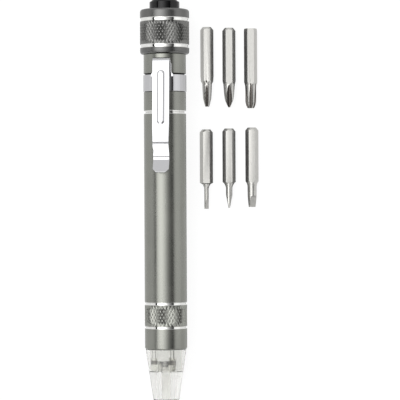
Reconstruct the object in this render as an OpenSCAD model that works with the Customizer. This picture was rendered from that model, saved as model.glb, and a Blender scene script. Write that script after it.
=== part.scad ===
// Pocket screwdriver pen with a light, a clip and a loose set of six bits.
// The pen lies on the table along Y with its button towards +Y. The bits lie beside it towards +X.
// Each pen piece is drawn upright, with the nose tip at the origin, and is then laid down.

/* [Barrel] */
// Outer diameter of both barrels
barrel_d = 14.8; // [13:0.1:18]
// Wall of the lower barrel
barrel_wall = 1; // [0.8:0.05:1.1]
// Length of the upper barrel that shows
upper_len = 20.25; // [19.8:0.05:30]
// Length of the upper barrel's spigot inside the lower one
spigot_len = 4.2; // [3:0.1:8]
// Bevel on each side of the split between the barrels
seam_bevel = 0.55; // [0.2:0.05:0.8]

/* [Knurl and rings] */
// Distance between the knurl's grooves, round the girth
knurl_pitch = 1.15; // [0.8:0.05:1.4]
// Height of one row of half diamonds
knurl_row_len = 1.03; // [0.7:0.01:1.3]
// Depth of the knurl
knurl_depth = 0.3; // [0.1:0.01:0.35]
// Depth of the polished rings turned into the grey skin
ring_depth = 0.3; // [0.1:0.05:0.4]

/* [Front sleeve] */
// Length of the whole front sleeve
sleeve_len = 16.25; // [16:0.05:20]
// Length of its plain front part
sleeve_plain_len = 7.2; // [5:0.1:8]
// Width of each polished ring
sleeve_ring_len = 0.8; // [0.4:0.1:1.2]
// Bevel at the sleeve's front edge
sleeve_bevel = 0.4; // [0.2:0.1:0.6]
// Length of the barrel's neck inside the sleeve
sleeve_neck_len = 7.4; // [5:0.1:8]
// Width of the ledge inside the sleeve that holds the lamps' board
ledge_w = 0.97; // [0.5:0.01:1.5]

/* [Nose] */
// Length of the clear nose in front of the sleeve
nose_len = 18.35; // [17:0.05:24]
// How far the nose narrows from its shoulder to its tip
nose_taper_w = 2.7; // [2:0.1:3]
// Width of the shoulder where the sleeve stands out round the nose
nose_shoulder_w = 0.25; // [0.1:0.05:0.5]
// Rounding at the tip
nose_tip_round = 1; // [0.4:0.1:1.5]
// Length of the nose's spigot inside the sleeve
nose_spigot_len = 4; // [3:0.1:4.5]
// Depth of the hexagon socket
socket_depth = 12.2; // [9:0.1:14]
// Clearance of the socket across its flats
socket_clearance = 0.1; // [0.05:0.01:0.2]
// Diameter of the magnet behind the socket
magnet_d = 4; // [3:0.1:4.2]
// Thickness of the magnet
magnet_len = 2; // [1:0.1:3]

/* [Light] */
// Number of lamps round the socket
led_count = 3; // [3:1:3]
// Wall of the nose's spigot round the lamps
lamp_wall = 0.54; // [0.4:0.02:0.9]
// Length of each lamp
led_len = 4.8; // [3:0.1:6]
// Length of the leads behind each lamp
lead_len = 7; // [5.5:0.1:8]
// Diameter of each lead
lead_d = 0.45; // [0.3:0.05:0.6]
// Thickness of the lamps' circuit board
board_t = 1; // [0.8:0.1:1.2]

/* [Bit rack] */
// Gap between the rack and the barrel's bore
rack_gap = 0.25; // [0.15:0.05:0.5]
// Number of tiers of bits in the rack
tier_count = 2; // [1:1:3]
// Free length in front of the rack inside the lower barrel
rack_room_len = 1.75; // [1:0.05:10]
// Thickness of the rack's round plates
rack_plate_t = 1.2; // [0.8:0.1:1.5]
// Play of a bit in its slot
rack_play = 0.4; // [0.2:0.05:0.5]
// Radius from the pen's axis to the floor of a slot
rack_floor_r = 1.65; // [1.5:0.05:1.7]
// Diameter of the contact rod through the rack
rod_d = 2; // [1.4:0.1:2.1]

/* [Batteries] */
// Wall of the threaded neck round the cells
neck_wall = 0.85; // [0.7:0.05:1.2]
// Height of a button cell
cell_h = 5.4; // [5:0.1:5.4]
// Number of cells in the stack
cell_count = 3; // [3:1:3]
// Wall of the thin tube round the cells
cell_tube_t = 0.25; // [0.2:0.05:0.3]

/* [Tail cap] */
// How far the tail cap stands out from the barrel
cap_overhang_w = 1.2; // [0.9:0.1:2]
// Length of the tail cap
cap_len = 16.15; // [16:0.05:18]
// Length of the flange at its lower end
cap_flange_len = 2.65; // [2:0.05:3.5]
// Width of each polished ring on the cap
cap_ring_len = 1.3; // [0.6:0.1:1.6]
// Length of the cap's knurled band
cap_knurl_len = 7.9; // [6:0.1:8.6]
// Rounding at the cap's two ends
cap_round = 1.1; // [0.5:0.1:1.5]
// Thickness of the cap's top round the button
cap_top_t = 1.4; // [1:0.1:2]
// Length of the threaded neck inside the cap
neck_len = 6.2; // [5:0.1:6.4]
// Width of the barrel's shoulder round the threaded neck
neck_shoulder_w = 0.4; // [0.3:0.05:0.7]

/* [Button] */
// Width of the cap's rim round the push button
cap_rim_w = 3.35; // [2.7:0.05:3.8]
// How far the button's side stands above the cap
button_rise = 2.6; // [2:0.1:4]
// How far the dome stands above the button's side
dome_rise = 1; // [0.6:0.1:1.6]
// Rounding at the button's edge
button_round = 0.7; // [0.3:0.1:1]
// How far the button goes in
button_travel = 1.2; // [0.5:0.1:1.5]

/* [Clip] */
// Width of the clip's arm
clip_w = 5.9; // [4:0.1:7]
// Thickness of the clip's sheet
clip_t = 0.5; // [0.4:0.05:0.6]
// Free height between the barrel and the arm
clip_gap = 3.1; // [2.6:0.1:4]
// Length of the clip from its fold to its lip
clip_len = 39.75; // [36:0.05:50]
// Distance from the clip's fold down from the tail cap
clip_cap_gap = 1.55; // [0.5:0.05:3]
// Turn of the clip about the pen's axis
clip_roll = -6; // [-20:0.1:20]
// Width of the band round the barrel
band_w = 5.9; // [4:0.1:7]
// Length of the tab between the band and the fold
tab_len = 3.5; // [2:0.1:5]
// Thickness of the band
band_t = 0.42; // [0.35:0.01:0.5]
// How far the band lies below the barrel's skin
band_sunk = 0.25; // [0.15:0.01:0.3]
// Width of the raised bead on the arm
bead_w = 2.5; // [1.5:0.1:3]
// Length of the bead
bead_len = 18.5; // [10:0.5:22]
// Height of the bead
bead_h = 0.22; // [0.1:0.01:0.3]

/* [Bits] */
// Size of a bit across its flats
bit_af = 4; // [3.9:0.05:4.1]
// Length of a bit
bit_len = 28; // [26:0.5:28.5]
// Length of a bit's hexagon shank
shank_len = 18.8; // [14:0.1:20]
// Width from the pen's axis to the first bit
pen_to_bit_w = 14.8; // [13:0.1:20]
// Distance from one bit to the next
bit_pitch = 7.7; // [6:0.1:12]
// Length from the nose tip to the upper row's ends
upper_row_len = 131.3; // [120:0.1:135]
// Length from the nose tip to the lower row's ends
lower_row_len = 95.2; // [80:0.1:100]
// Step between the ends of neighbouring bits in a row
row_step_len = 0.3; // [0:0.1:1]

/* [Hidden] */
$fn = 96;

skin_grey = "#8f908a";
cap_grey = "#73746f";
steel_bright = "#e4e4e6";
bit_steel = "#b9b9b6";
clear_plastic = "#e3e3e1";
black_plastic = "#222222";
brass_yellow = "#c9a857";

// Overrun of every cut
over = 0.5;
// Radial clearance of a shaft in its hole
running = 0.05;
// Gap between two pieces that sit on each other
seat = 0.05;
// Axial play left where a piece only passes
pass = 0.2;

barrel_r = barrel_d / 2;
bore_r = barrel_r - barrel_wall;
cap_r = barrel_r + cap_overhang_w;
neck_r = barrel_r - neck_shoulder_w;
button_r = cap_r - cap_rim_w;

// The lower barrel is as long as the rack, its free room and the upper barrel's spigot
slots_per_tier = 3;
slot_len = bit_len + rack_play;
tier_len = slot_len + rack_plate_t;
rack_len = tier_count * tier_len + rack_plate_t;
lower_len = rack_room_len + rack_len + seat + spigot_len;

// Heights along the pen, counted from the nose tip
sleeve_z = nose_len;
lower_z = sleeve_z + sleeve_len;
upper_z = lower_z + lower_len;
cap_z = upper_z + upper_len;
cap_top_z = cap_z + cap_len;
button_side_z = cap_top_z + button_rise;
total_len = button_side_z + dome_rise;

// Front end
nose_base_r = barrel_r - nose_shoulder_w;
nose_tip_r = nose_base_r - nose_taper_w;
nose_spigot_r = bore_r - pass;
sleeve_bore_r = nose_spigot_r + running;
nose_spigot_z = nose_len + nose_spigot_len;
board_z = nose_spigot_z + seat;
ledge_z = board_z + board_t + seat;
ledge_r = sleeve_bore_r - ledge_w;
sleeve_neck_r = barrel_r - barrel_wall * 0.7;
sleeve_neck_bore_r = sleeve_neck_r - barrel_wall * 1.1;
sleeve_neck_z = lower_z - sleeve_neck_len;
front_ring_1_z = sleeve_z + sleeve_plain_len;
front_knurl_z = front_ring_1_z + sleeve_ring_len;
front_ring_2_z = lower_z - sleeve_ring_len;
front_knurl_len = front_ring_2_z - front_knurl_z;

// Nose inside
socket_af = bit_af + socket_clearance;
core_r = bit_af / 2 / cos(30) + socket_clearance + barrel_wall * 0.45;
magnet_z = socket_depth;
core_z = magnet_z + magnet_len + seat;
led_wall = barrel_wall * 0.15;
lamp_room_r = nose_spigot_r - lamp_wall;
led_d = lamp_room_r - core_r - 2 * led_wall;
led_circle_r = core_r + led_d / 2 + led_wall;
led_z = board_z - lead_len - led_len;
lamp_room_z = led_z - led_wall;
led_rim = led_d * 0.04;
led_rim_h = led_d * 0.25;
lead_offset = led_d * 0.24;

// Rack and upper unit
spigot_z = upper_z - spigot_len;
spigot_r = bore_r - running;
rack_z = spigot_z - seat - rack_len;
slot_w = bit_af + rack_play;
rack_r = bore_r - rack_gap;
stub_r = rack_r * 0.48;
bulkhead_t = rack_plate_t * 1.5;
bulkhead_z = upper_z;
cell_room_z = bulkhead_z + bulkhead_t;
rod_hole_r = rod_d / 2 + running;
rod_head_r = rod_d * 1.1;
rod_head_t = rod_d * 0.4;
rod_z = lower_z - front_knurl_len * 0.55;

// Batteries
cell_room_r = neck_r - neck_wall;
cell_tube_r = cell_room_r - running;
cell_tube_bore_r = cell_tube_r - cell_tube_t;
cell_r = cell_tube_bore_r - running;
neck_bevel = neck_wall * 0.3;
plate_t = cell_h * 0.07;
stack_z = cell_room_z + plate_t;
stack_top_z = stack_z + cell_count * cell_h;
cell_lid_h = cell_h * 0.1;
cell_lid_r = cell_r * 0.86;

// Seals
seam_seal_r = barrel_wall * 0.45;
seam_groove_r = spigot_r - 2 * seam_seal_r;
seam_groove_w = 2 * seam_seal_r + pass;
seam_seal_z = spigot_z + spigot_len * 0.35;
neck_seal_r = barrel_wall * 0.26;
neck_groove_r = neck_r - 2 * neck_seal_r;
neck_groove_w = 2 * neck_seal_r + pass / 2;
neck_seal_z = cap_z + neck_seal_r + seat * 4;

// Tail cap inside
cap_bore_r = neck_r + running;
switch_r = neck_r * 0.9;
switch_z = cap_z + neck_len + pass * 3;
switch_len = cap_len * 0.2;
switch_top_z = switch_z + switch_len;
switch_bore_r = switch_r + running;
flange_room_r = switch_r * 0.97;
button_flange_r = flange_room_r - 2 * running;
button_flange_t = button_travel;
button_flange_z = cap_top_z - cap_top_t - seat - button_flange_t;
plunger_r = button_r * 0.3;
plunger_hole_z = switch_z + switch_len * 0.25;
plunger_z = plunger_hole_z + button_travel + pass;
cap_ring_1_z = cap_z + cap_flange_len;
cap_knurl_z = cap_ring_1_z + cap_ring_len;
cap_ring_2_z = cap_knurl_z + cap_knurl_len;

// Springs
coil_rings = 8;
coil_sides = 6;
battery_spring_r = cell_r * 0.6;
battery_wire = cell_h * 0.1;
battery_curls = 5;
battery_spring_z = stack_top_z;
battery_spring_len = switch_z - battery_spring_z;
button_spring_r = button_r * 0.7;
button_wire = button_travel / 3;
button_curls = 3;
button_spring_len = button_flange_z - switch_top_z;
front_spring_r = rod_head_r * 0.75;
front_wire = rod_d * 0.24;
front_curls = 5;
front_spring_z = board_z + board_t;
front_spring_len = rod_z - front_spring_z;

// Clip
clip_top_z = cap_z - clip_cap_gap;
clip_end_z = clip_top_z - clip_len;
arm_r = barrel_r + clip_gap + clip_t;
tab_r = barrel_r + seat;
fold_outer_r = (arm_r - tab_r) / 2;
fold_inner_r = fold_outer_r - clip_t;
fold_r = tab_r + fold_outer_r;
fold_z = clip_top_z - fold_outer_r;
band_z = fold_z - tab_len - band_w;
band_inner_r = barrel_r - band_sunk + running / 2;
band_outer_r = band_inner_r + band_t;
band_split_w = band_t * 1.4;
arm_play = clip_t * 0.4;
arm_z = fold_z - arm_play;
arm_low_r = arm_r - clip_t * 0.6;
dip_r = barrel_r + clip_t + 2 * seat;
lip_r = dip_r + clip_gap * 0.72;
bend_z = clip_end_z + clip_len * 0.26;
dip_z = clip_end_z + clip_len * 0.125;
bead_top_z = fold_z - clip_gap * 0.9;
lip_corner = clip_w * 0.18;
lip_w = clip_w * 0.95;
tab_foot_w = clip_w * 1.1;
bend_steps = 12;

// Bits
bit_corner_r = bit_af / 2 / cos(30);
point_len = bit_len - shank_len;
bit_bevel_h = bit_af * 0.28;
bit_bevel_r = bit_corner_r * 0.64;
// Turned blank, just outside the hexagon's corners
blank_r = bit_corner_r + running;
star_bevel_r = bit_corner_r * 0.95;
bit_x_shares = [0, 1.01, 2, -0.05, 0.99, 2.04];
// Radius as a share of the size across flats, height as a share of the point's length
cross_small_shares = [[0.2, 0], [0.27, 0.115], [0.375, 0.315], [0.41, 0.6], [0.42, 0.87]];
cross_large_shares = [[0.1, 0], [0.265, 0.11], [0.39, 0.22], [0.45, 0.32], [0.49, 0.5], [0.5, 0.88]];
star_shares = [[0.29, 0], [0.41, 0.115], [0.47, 0.23], [0.48, 0.75], [0.5, 0.88]];
slot_small_shares = [[0.195, 0], [0.195, 0.77], [0.225, 0.84], [0.265, 0.88], [0.36, 0.95]];
slot_medium_shares = [[0.27, 0], [0.28, 0.78], [0.34, 0.86], [0.44, 0.94]];
slot_large_shares = [[0.31, 0], [0.39, 0.42], [0.4, 0.78], [0.43, 0.88]];
// Radius of the flutes' cutter, radius of the core at the tip, and run of the flutes
cross_small_flute_shares = [0.125, 0.07, 1];
cross_large_flute_shares = [0.225, 0.1, 0.84];
star_flute_shares = [0.15, 0.225, 0.95];
cross_flute_count = 4;
star_flute_count = 6;
// Thickness of the blade's edge and run of its ground faces
slot_small_blade_shares = [0.1, 0.8];
slot_medium_blade_shares = [0.12, 0.6];
slot_large_blade_shares = [0.16, 0.51];
// Where a ground face ends in its shoulder
blade_shoulder_shares = [0.26, 0.8];
// Turn of each bit's flutes or blade about its axis
bit_turns = [-5, 0, 30, 120, 12, 122];

function bit_x(i) = pen_to_bit_w + bit_x_shares[i] * bit_pitch;
function bit_end(i) = i < 3 ? upper_row_len - i * row_step_len : lower_row_len + (i - 3) * row_step_len;

// Place of the pen's axis and tip that centres the whole set
right_edge = max([for (i = [0:5]) bit_x(i)]) + bit_corner_r;
axis_x = (cap_r - right_edge) / 2;
tip_y = -total_len / 2;
axis_z = cap_r;

module place_pen() {
  translate([axis_x, tip_y, axis_z]) rotate([-90, 0, 0]) children();
}

module place_bit(i) {
  translate([axis_x + bit_x(i), tip_y + bit_end(i) - bit_len, bit_af / 2]) rotate([-90, 0, 0]) children();
}

// Plain ring between two radii
module tube(outer_r, inner_r, length) {
  difference() {
    cylinder(r = outer_r, h = length);
    translate([0, 0, -over]) cylinder(r = inner_r, h = length + 2 * over);
  }
}

// Diamond knurl: four-sided points on a drum, split by two crossing sets of grooves
function knurl_count(r) = 2 * floor(180 / asin(knurl_pitch / 2 / r) / 2);
function knurl_rows(length) = round(length / knurl_row_len);
function knurl_points(r, length) =
  let (n = 2 * knurl_count(r), rows = knurl_rows(length))
  [for (j = [0:rows]) for (i = [0:n - 1])
    let (edge = j == 0 || j == rows, q = edge || (i + j) % 2 == 0 ? r : r - knurl_depth)
    [q * cos(360 * i / n), q * sin(360 * i / n), length * j / rows]];
function knurl_faces(r, length) =
  let (n = 2 * knurl_count(r), rows = knurl_rows(length))
  concat(
    [for (j = [0:rows - 1]) for (i = [0:n - 1]) for (half = [0:1])
      let (a = j * n + i, b = j * n + (i + 1) % n, c = b + n, d = a + n)
      (i + j) % 2 == 0 ? (half == 0 ? [a, d, b] : [b, d, c]) : (half == 0 ? [a, c, b] : [a, d, c])],
    [[for (i = [0:n - 1]) i]],
    [[for (i = [n - 1:-1:0]) rows * n + i]]);
module knurl(r, length) {
  polyhedron(knurl_points(r, length), knurl_faces(r, length), convexity = 4);
}

// Coil spring: one unbroken wire of straight rings, from the seat at zero to its full height
function coil_centre(k, r, length, curls, wire) =
  let (a = 360 * k / coil_rings)
  [r * cos(a), r * sin(a), wire / 2 + (length - wire) * k / (curls * coil_rings)];
function coil_ring(k, r, length, curls, wire) =
  let (a = 360 * k / coil_rings, slope = atan((length - wire) / curls / (2 * PI * r)),
    centre = coil_centre(k, r, length, curls, wire), out = [cos(a), sin(a), 0],
    up = [sin(a) * sin(slope), -cos(a) * sin(slope), cos(slope)])
  [for (s = [0:coil_sides - 1]) centre + wire / 2 * (cos(360 * s / coil_sides) * out
    + sin(360 * s / coil_sides) * up)];
module coil(r, length, curls, wire) {
  last = curls * coil_rings;
  points = [for (k = [0:last]) each coil_ring(k, r, length, curls, wire)];
  sides = [for (k = [0:last - 1]) for (s = [0:coil_sides - 1]) for (half = [0:1])
    let (a = k * coil_sides + s, b = k * coil_sides + (s + 1) % coil_sides,
      c = b + coil_sides, d = a + coil_sides)
    half == 0 ? [a, d, b] : [b, d, c]];
  ends = [[for (s = [0:coil_sides - 1]) s],
    [for (s = [coil_sides - 1:-1:0]) last * coil_sides + s]];
  near = min([for (k = [0:last - coil_rings]) for (m = [k + coil_rings - 2:min(last, k + coil_rings + 2)])
    norm(coil_centre(k, r, length, curls, wire) - coil_centre(m, r, length, curls, wire))]);
  echo(str("least gap of the coil to itself, mm: ", near - wire));
  polyhedron(points, concat(sides, ends), convexity = 6);
}

// Clear nose: a cone with a hexagon socket in its core and a ring of room for the lamps
module nose_cone() {
  color(clear_plastic, 0.5) place_pen() difference() {
    rotate_extrude() polygon(concat(
      [[0, 0]],
      [for (a = [0:15:90]) [nose_tip_r - nose_tip_round * (1 - sin(a)), nose_tip_round * (1 - cos(a))]],
      [[nose_base_r, nose_len - seat], [nose_spigot_r, nose_len - seat], [nose_spigot_r, nose_spigot_z],
        [0, nose_spigot_z]]));
    difference() {
      translate([0, 0, lamp_room_z]) cylinder(r = lamp_room_r, h = nose_spigot_z);
      cylinder(r = core_r, h = core_z);
    }
    translate([0, 0, -over]) cylinder(d = socket_af / cos(30), h = socket_depth + over, $fn = 6);
    translate([0, 0, magnet_z]) cylinder(r = magnet_d / 2 + running, h = nose_spigot_z);
  }
}

module socket_magnet() {
  color("#5a5a5c") place_pen() translate([0, 0, magnet_z + seat / 2]) cylinder(d = magnet_d, h = magnet_len);
}

// Lamp with its rim and two leads
module led(i) {
  r = led_d / 2;
  color("#f2f2ea") place_pen() rotate([0, 0, (i + 0.5) * 360 / led_count]) translate([led_circle_r, 0, 0]) {
    translate([0, 0, led_z + r]) cylinder(r = r, h = led_len - r);
    translate([0, 0, led_z + r]) sphere(r = r);
    translate([0, 0, led_z + led_len - led_rim_h]) cylinder(r = r + led_rim, h = led_rim_h);
    for (side = [-1, 1]) translate([0, side * lead_offset, led_z + r])
      cylinder(d = lead_d, h = board_z - led_z - r);
  }
}

module led_board() {
  color("#3e6b4a") place_pen() translate([0, 0, board_z]) cylinder(r = nose_spigot_r, h = board_t);
}

module front_spring() {
  color(steel_bright) place_pen() translate([0, 0, front_spring_z])
    coil(front_spring_r, front_spring_len, front_curls, front_wire);
}

// Front sleeve: a turned tube with a knurled band between two polished rings
module front_sleeve() {
  low_r = barrel_r - ring_depth;
  rim_r = barrel_r - seat;
  drum_r = barrel_r - knurl_depth - seat;
  color(skin_grey) place_pen() difference() {
    union() {
      rotate_extrude() polygon([[0, sleeve_z], [barrel_r - sleeve_bevel, sleeve_z],
        [barrel_r, sleeve_z + sleeve_bevel], [barrel_r, front_ring_1_z - ring_depth / 2],
        [low_r, front_ring_1_z + ring_depth / 2], [low_r, front_knurl_z - ring_depth],
        [rim_r, front_knurl_z - seat], [rim_r, front_knurl_z + seat],
        [drum_r, front_knurl_z + seat], [drum_r, front_ring_2_z - seat],
        [rim_r, front_ring_2_z - seat], [rim_r, front_ring_2_z + seat],
        [low_r, front_ring_2_z + ring_depth], [low_r, lower_z - ring_depth / 2],
        [barrel_r - ring_depth / 2, lower_z], [0, lower_z]]);
      translate([0, 0, front_knurl_z]) knurl(barrel_r, front_knurl_len);
    }
    translate([0, 0, sleeve_z - over]) cylinder(r = sleeve_bore_r, h = ledge_z - sleeve_z + over);
    translate([0, 0, sleeve_z - over]) cylinder(r = ledge_r, h = sleeve_len + 2 * over);
    translate([0, 0, sleeve_neck_z - seat]) cylinder(r = sleeve_neck_r + running, h = sleeve_len);
  }
}

// Lower barrel: a long tube with a neck that screws into the sleeve
module lower_barrel() {
  color(skin_grey) place_pen() difference() {
    rotate_extrude() polygon([[0, sleeve_neck_z], [sleeve_neck_r, sleeve_neck_z],
      [sleeve_neck_r, lower_z + seat], [barrel_r - ring_depth / 2, lower_z + seat],
      [barrel_r, lower_z + seat + ring_depth / 2], [barrel_r, upper_z - seam_bevel],
      [barrel_r - seam_bevel, upper_z], [0, upper_z]]);
    translate([0, 0, sleeve_neck_z - over]) cylinder(r = sleeve_neck_bore_r, h = lower_len);
    translate([0, 0, lower_z + rack_plate_t / 2]) cylinder(r = bore_r, h = lower_len);
  }
}

// Upper barrel: battery room, neck for the cap, seat for the clip's band and spigot for the seam
module upper_barrel() {
  color(skin_grey) place_pen() difference() {
    rotate_extrude() polygon([[0, spigot_z], [spigot_r - seat, spigot_z], [spigot_r, spigot_z + 2 * seat],
      [spigot_r, seam_seal_z - seam_groove_w / 2], [seam_groove_r, seam_seal_z - seam_groove_w / 2],
      [seam_groove_r, seam_seal_z + seam_groove_w / 2], [spigot_r, seam_seal_z + seam_groove_w / 2],
      [spigot_r, upper_z + seat], [barrel_r - seam_bevel, upper_z + seat],
      [barrel_r, upper_z + seat + seam_bevel], [barrel_r, band_z - seat],
      [barrel_r - band_sunk, band_z - seat], [barrel_r - band_sunk, band_z + band_w + seat],
      [barrel_r, band_z + band_w + seat], [barrel_r, cap_z - seat], [neck_r, cap_z - seat],
      [neck_r, neck_seal_z - neck_groove_w / 2], [neck_groove_r, neck_seal_z - neck_groove_w / 2],
      [neck_groove_r, neck_seal_z + neck_groove_w / 2], [neck_r, neck_seal_z + neck_groove_w / 2],
      [neck_r, cap_z + neck_len - neck_bevel], [neck_r - neck_bevel, cap_z + neck_len],
      [0, cap_z + neck_len]]);
    translate([0, 0, cell_room_z]) cylinder(r = cell_room_r, h = upper_len + neck_len);
    translate([0, 0, spigot_z - over])
      cylinder(r = stub_r + running, h = spigot_len + bulkhead_t + 2 * over);
  }
}

module seal(major_r, section_r, height) {
  color(black_plastic) place_pen() translate([0, 0, height]) rotate_extrude() translate([major_r, 0])
    circle(r = section_r, $fn = 32);
}

module seam_seal() {
  seal(spigot_r + running * 0.6 - seam_seal_r, seam_seal_r, seam_seal_z);
}

module neck_seal() {
  seal(neck_r + running * 0.6 - neck_seal_r, neck_seal_r, neck_seal_z);
}

// Bit rack: a spine with three open slots in each tier, between round plates
module bit_rack() {
  color(black_plastic) place_pen() difference() {
    union() {
      translate([0, 0, rack_z]) cylinder(r = rack_r, h = rack_len);
      translate([0, 0, rack_z]) cylinder(r = stub_r, h = cell_room_z - rack_z);
    }
    translate([0, 0, rack_z - over]) cylinder(r = rod_hole_r, h = cell_room_z - rack_z + 2 * over);
    for (tier = [0:tier_count - 1]) for (slot = [0:slots_per_tier - 1])
      translate([0, 0, rack_z + rack_plate_t + tier * tier_len])
        rotate([0, 0, slot * 360 / slots_per_tier])
          translate([-slot_w / 2, -rack_r - over, 0])
            cube([slot_w, rack_r + over - rack_floor_r, slot_len]);
  }
}

module contact_rod() {
  color(brass_yellow) place_pen() {
    translate([0, 0, rod_z]) cylinder(r = rod_head_r, h = rod_head_t);
    translate([0, 0, rod_z]) cylinder(d = rod_d, h = cell_room_z - rod_z);
  }
}

module contact_plate() {
  color(brass_yellow) place_pen() translate([0, 0, cell_room_z])
    cylinder(r = cell_r, h = plate_t - seat / 2);
}

module battery_tube() {
  color(clear_plastic, 0.6) place_pen() translate([0, 0, cell_room_z])
    tube(cell_tube_r, cell_tube_bore_r, stack_top_z - cell_room_z - cell_lid_h);
}

// Button cell: a can with its smaller lid, which faces the nose
module battery_cell(i) {
  color(steel_bright) place_pen() translate([0, 0, stack_z + i * cell_h]) {
    cylinder(r = cell_lid_r, h = cell_h / 2);
    rotate_extrude() polygon([[0, cell_lid_h], [cell_r - cell_lid_h, cell_lid_h],
      [cell_r, 2 * cell_lid_h], [cell_r, cell_h - seat], [0, cell_h - seat]]);
  }
}

// Sheet of the clip, seen from its side: a strip between two heights and two radii, along X
module strip(low_r, high_r, low_z, high_z) {
  translate([-clip_w / 2, -high_r, low_z]) cube([clip_w, high_r - low_r, high_z - low_z]);
}

// Band round the barrel, with the tab that rises from it to the fold
module clip_band() {
  color(steel_bright) place_pen() rotate([0, 0, clip_roll]) {
    difference() {
      translate([0, 0, band_z]) tube(band_outer_r, band_inner_r, band_w);
      translate([-band_split_w / 2, 0, band_z - over]) cube([band_split_w, barrel_d, band_w + 2 * over]);
    }
    difference() {
      translate([0, 0, band_z + band_w - clip_t]) rotate([90, 0, 0]) linear_extrude(tab_r + clip_t)
        polygon([[-tab_foot_w / 2, 0], [tab_foot_w / 2, 0], [tab_foot_w / 2, clip_t],
          [clip_w / 2, 2 * clip_t], [clip_w / 2, tab_len + clip_t],
          [-clip_w / 2, tab_len + clip_t], [-clip_w / 2, 2 * clip_t],
          [-tab_foot_w / 2, clip_t]]);
      translate([-clip_w, -tab_r, 0]) cube([2 * clip_w, barrel_d, cap_z]);
    }
    intersection() {
      translate([0, -fold_r, fold_z]) rotate([0, 90, 0]) translate([0, 0, -clip_w / 2])
        tube(fold_outer_r, fold_inner_r, clip_w);
      translate([-clip_w, -fold_r - barrel_r, fold_z]) cube([2 * clip_w, barrel_d, barrel_d]);
    }
  }
}

// Outer face of the arm: straight, then down to the barrel, then out again at the lip
function arm_face(z) =
  z >= bend_z ? arm_low_r + (arm_r - arm_low_r) * (z - bend_z) / (arm_z - bend_z) :
  z >= dip_z ? dip_r + (arm_low_r - dip_r) * (1 - cos(180 * (z - dip_z) / (bend_z - dip_z))) / 2 :
  dip_r + (lip_r - dip_r) * (1 - cos(110 * (dip_z - z) / (dip_z - clip_end_z))) / (1 - cos(110));
function arm_stations() = concat(
  [for (k = [0:bend_steps]) clip_end_z + (dip_z - clip_end_z) * k / bend_steps],
  [for (k = [1:bend_steps]) dip_z + (bend_z - dip_z) * k / bend_steps], [arm_z]);
function arm_slope(z) = let (d = clip_t / 10, hi = min(z + d, arm_z), lo = max(z - d, clip_end_z))
  atan((arm_face(hi) - arm_face(lo)) / (hi - lo));

module clip_arm() {
  stations = arm_stations();
  outer = [for (z = stations) [arm_face(z), z]];
  inner = [for (k = [len(stations) - 1:-1:0]) let (z = stations[k], a = arm_slope(z))
    [arm_face(z) - clip_t * cos(a), k == len(stations) - 1 ? z : z + clip_t * sin(a)]];
  color(steel_bright) place_pen() rotate([0, 0, clip_roll]) difference() {
    union() {
      intersection() {
        rotate([90, 0, -90]) translate([0, 0, -clip_w]) linear_extrude(2 * clip_w)
          polygon(concat(outer, inner));
        rotate([90, 0, 0]) linear_extrude(2 * barrel_d) polygon([[-lip_w / 2 + lip_corner, clip_end_z],
          [lip_w / 2 - lip_corner, clip_end_z], [lip_w / 2, clip_end_z + lip_corner], [lip_w / 2, bend_z],
          [clip_w / 2, bead_top_z - bead_len], [clip_w / 2, arm_z], [-clip_w / 2, arm_z],
          [-clip_w / 2, bead_top_z - bead_len], [-lip_w / 2, bend_z],
          [-lip_w / 2, clip_end_z + lip_corner]]);
      }
      bead(0, bead_w);
    }
    bead(-clip_t, bead_w - clip_t);
  }
}

// Long bead pressed out of the arm, following its slight slope
module bead(depth, width) {
  lean = arm_slope(arm_z - clip_t);
  translate([0, -arm_face(bead_top_z) - depth, bead_top_z]) rotate([-lean, 0, 0]) rotate([90, 0, 0])
    translate([0, 0, -clip_t / 2]) {
      translate([0, -width / 2]) cylinder(d = width, h = bead_h + clip_t / 2);
      translate([0, width / 2 - bead_len]) cylinder(d = width, h = bead_h + clip_t / 2);
      translate([-width / 2, width / 2 - bead_len]) cube([width, bead_len - width, bead_h + clip_t / 2]);
    }
}

// Tail cap: a turned shell with a knurled band, open below for the neck and above for the button
module tail_cap() {
  low_r = cap_r - ring_depth;
  rim_r = cap_r - seat;
  drum_r = cap_r - knurl_depth - seat;
  color(cap_grey) place_pen() difference() {
    union() {
      rotate_extrude() polygon(concat(
        [[0, cap_z]],
        [for (a = [0:15:90]) [cap_r - cap_round * (1 - sin(a)), cap_z + cap_round * (1 - cos(a))]],
        [[cap_r, cap_ring_1_z - ring_depth / 2], [low_r, cap_ring_1_z + ring_depth / 2],
          [low_r, cap_knurl_z - ring_depth], [rim_r, cap_knurl_z - seat], [rim_r, cap_knurl_z + seat],
          [drum_r, cap_knurl_z + seat], [drum_r, cap_ring_2_z - seat], [rim_r, cap_ring_2_z - seat],
          [rim_r, cap_ring_2_z + seat], [low_r, cap_ring_2_z + ring_depth],
          [low_r, cap_ring_2_z + cap_ring_len - ring_depth / 2],
          [cap_r, cap_ring_2_z + cap_ring_len + ring_depth / 2]],
        [for (a = [0:15:90]) [cap_r - cap_round * (1 - cos(a)), cap_top_z - cap_round * (1 - sin(a))]],
        [[0, cap_top_z]]));
      translate([0, 0, cap_knurl_z]) knurl(cap_r, cap_knurl_len);
    }
    translate([0, 0, cap_z - over]) cylinder(r = cap_bore_r, h = neck_len + 2 * pass + over);
    translate([0, 0, cap_z - over]) cylinder(r = switch_bore_r, h = switch_top_z + seat - cap_z + over);
    translate([0, 0, cap_z - over]) cylinder(r = flange_room_r, h = cap_len - cap_top_t + over);
    translate([0, 0, cap_z - over]) cylinder(r = button_r + running, h = cap_len + 2 * over);
  }
}

module switch_body() {
  color(black_plastic) place_pen() difference() {
    translate([0, 0, switch_z]) cylinder(r = switch_r, h = switch_len);
    translate([0, 0, plunger_hole_z]) cylinder(r = plunger_r + running, h = switch_len);
  }
}

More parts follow.
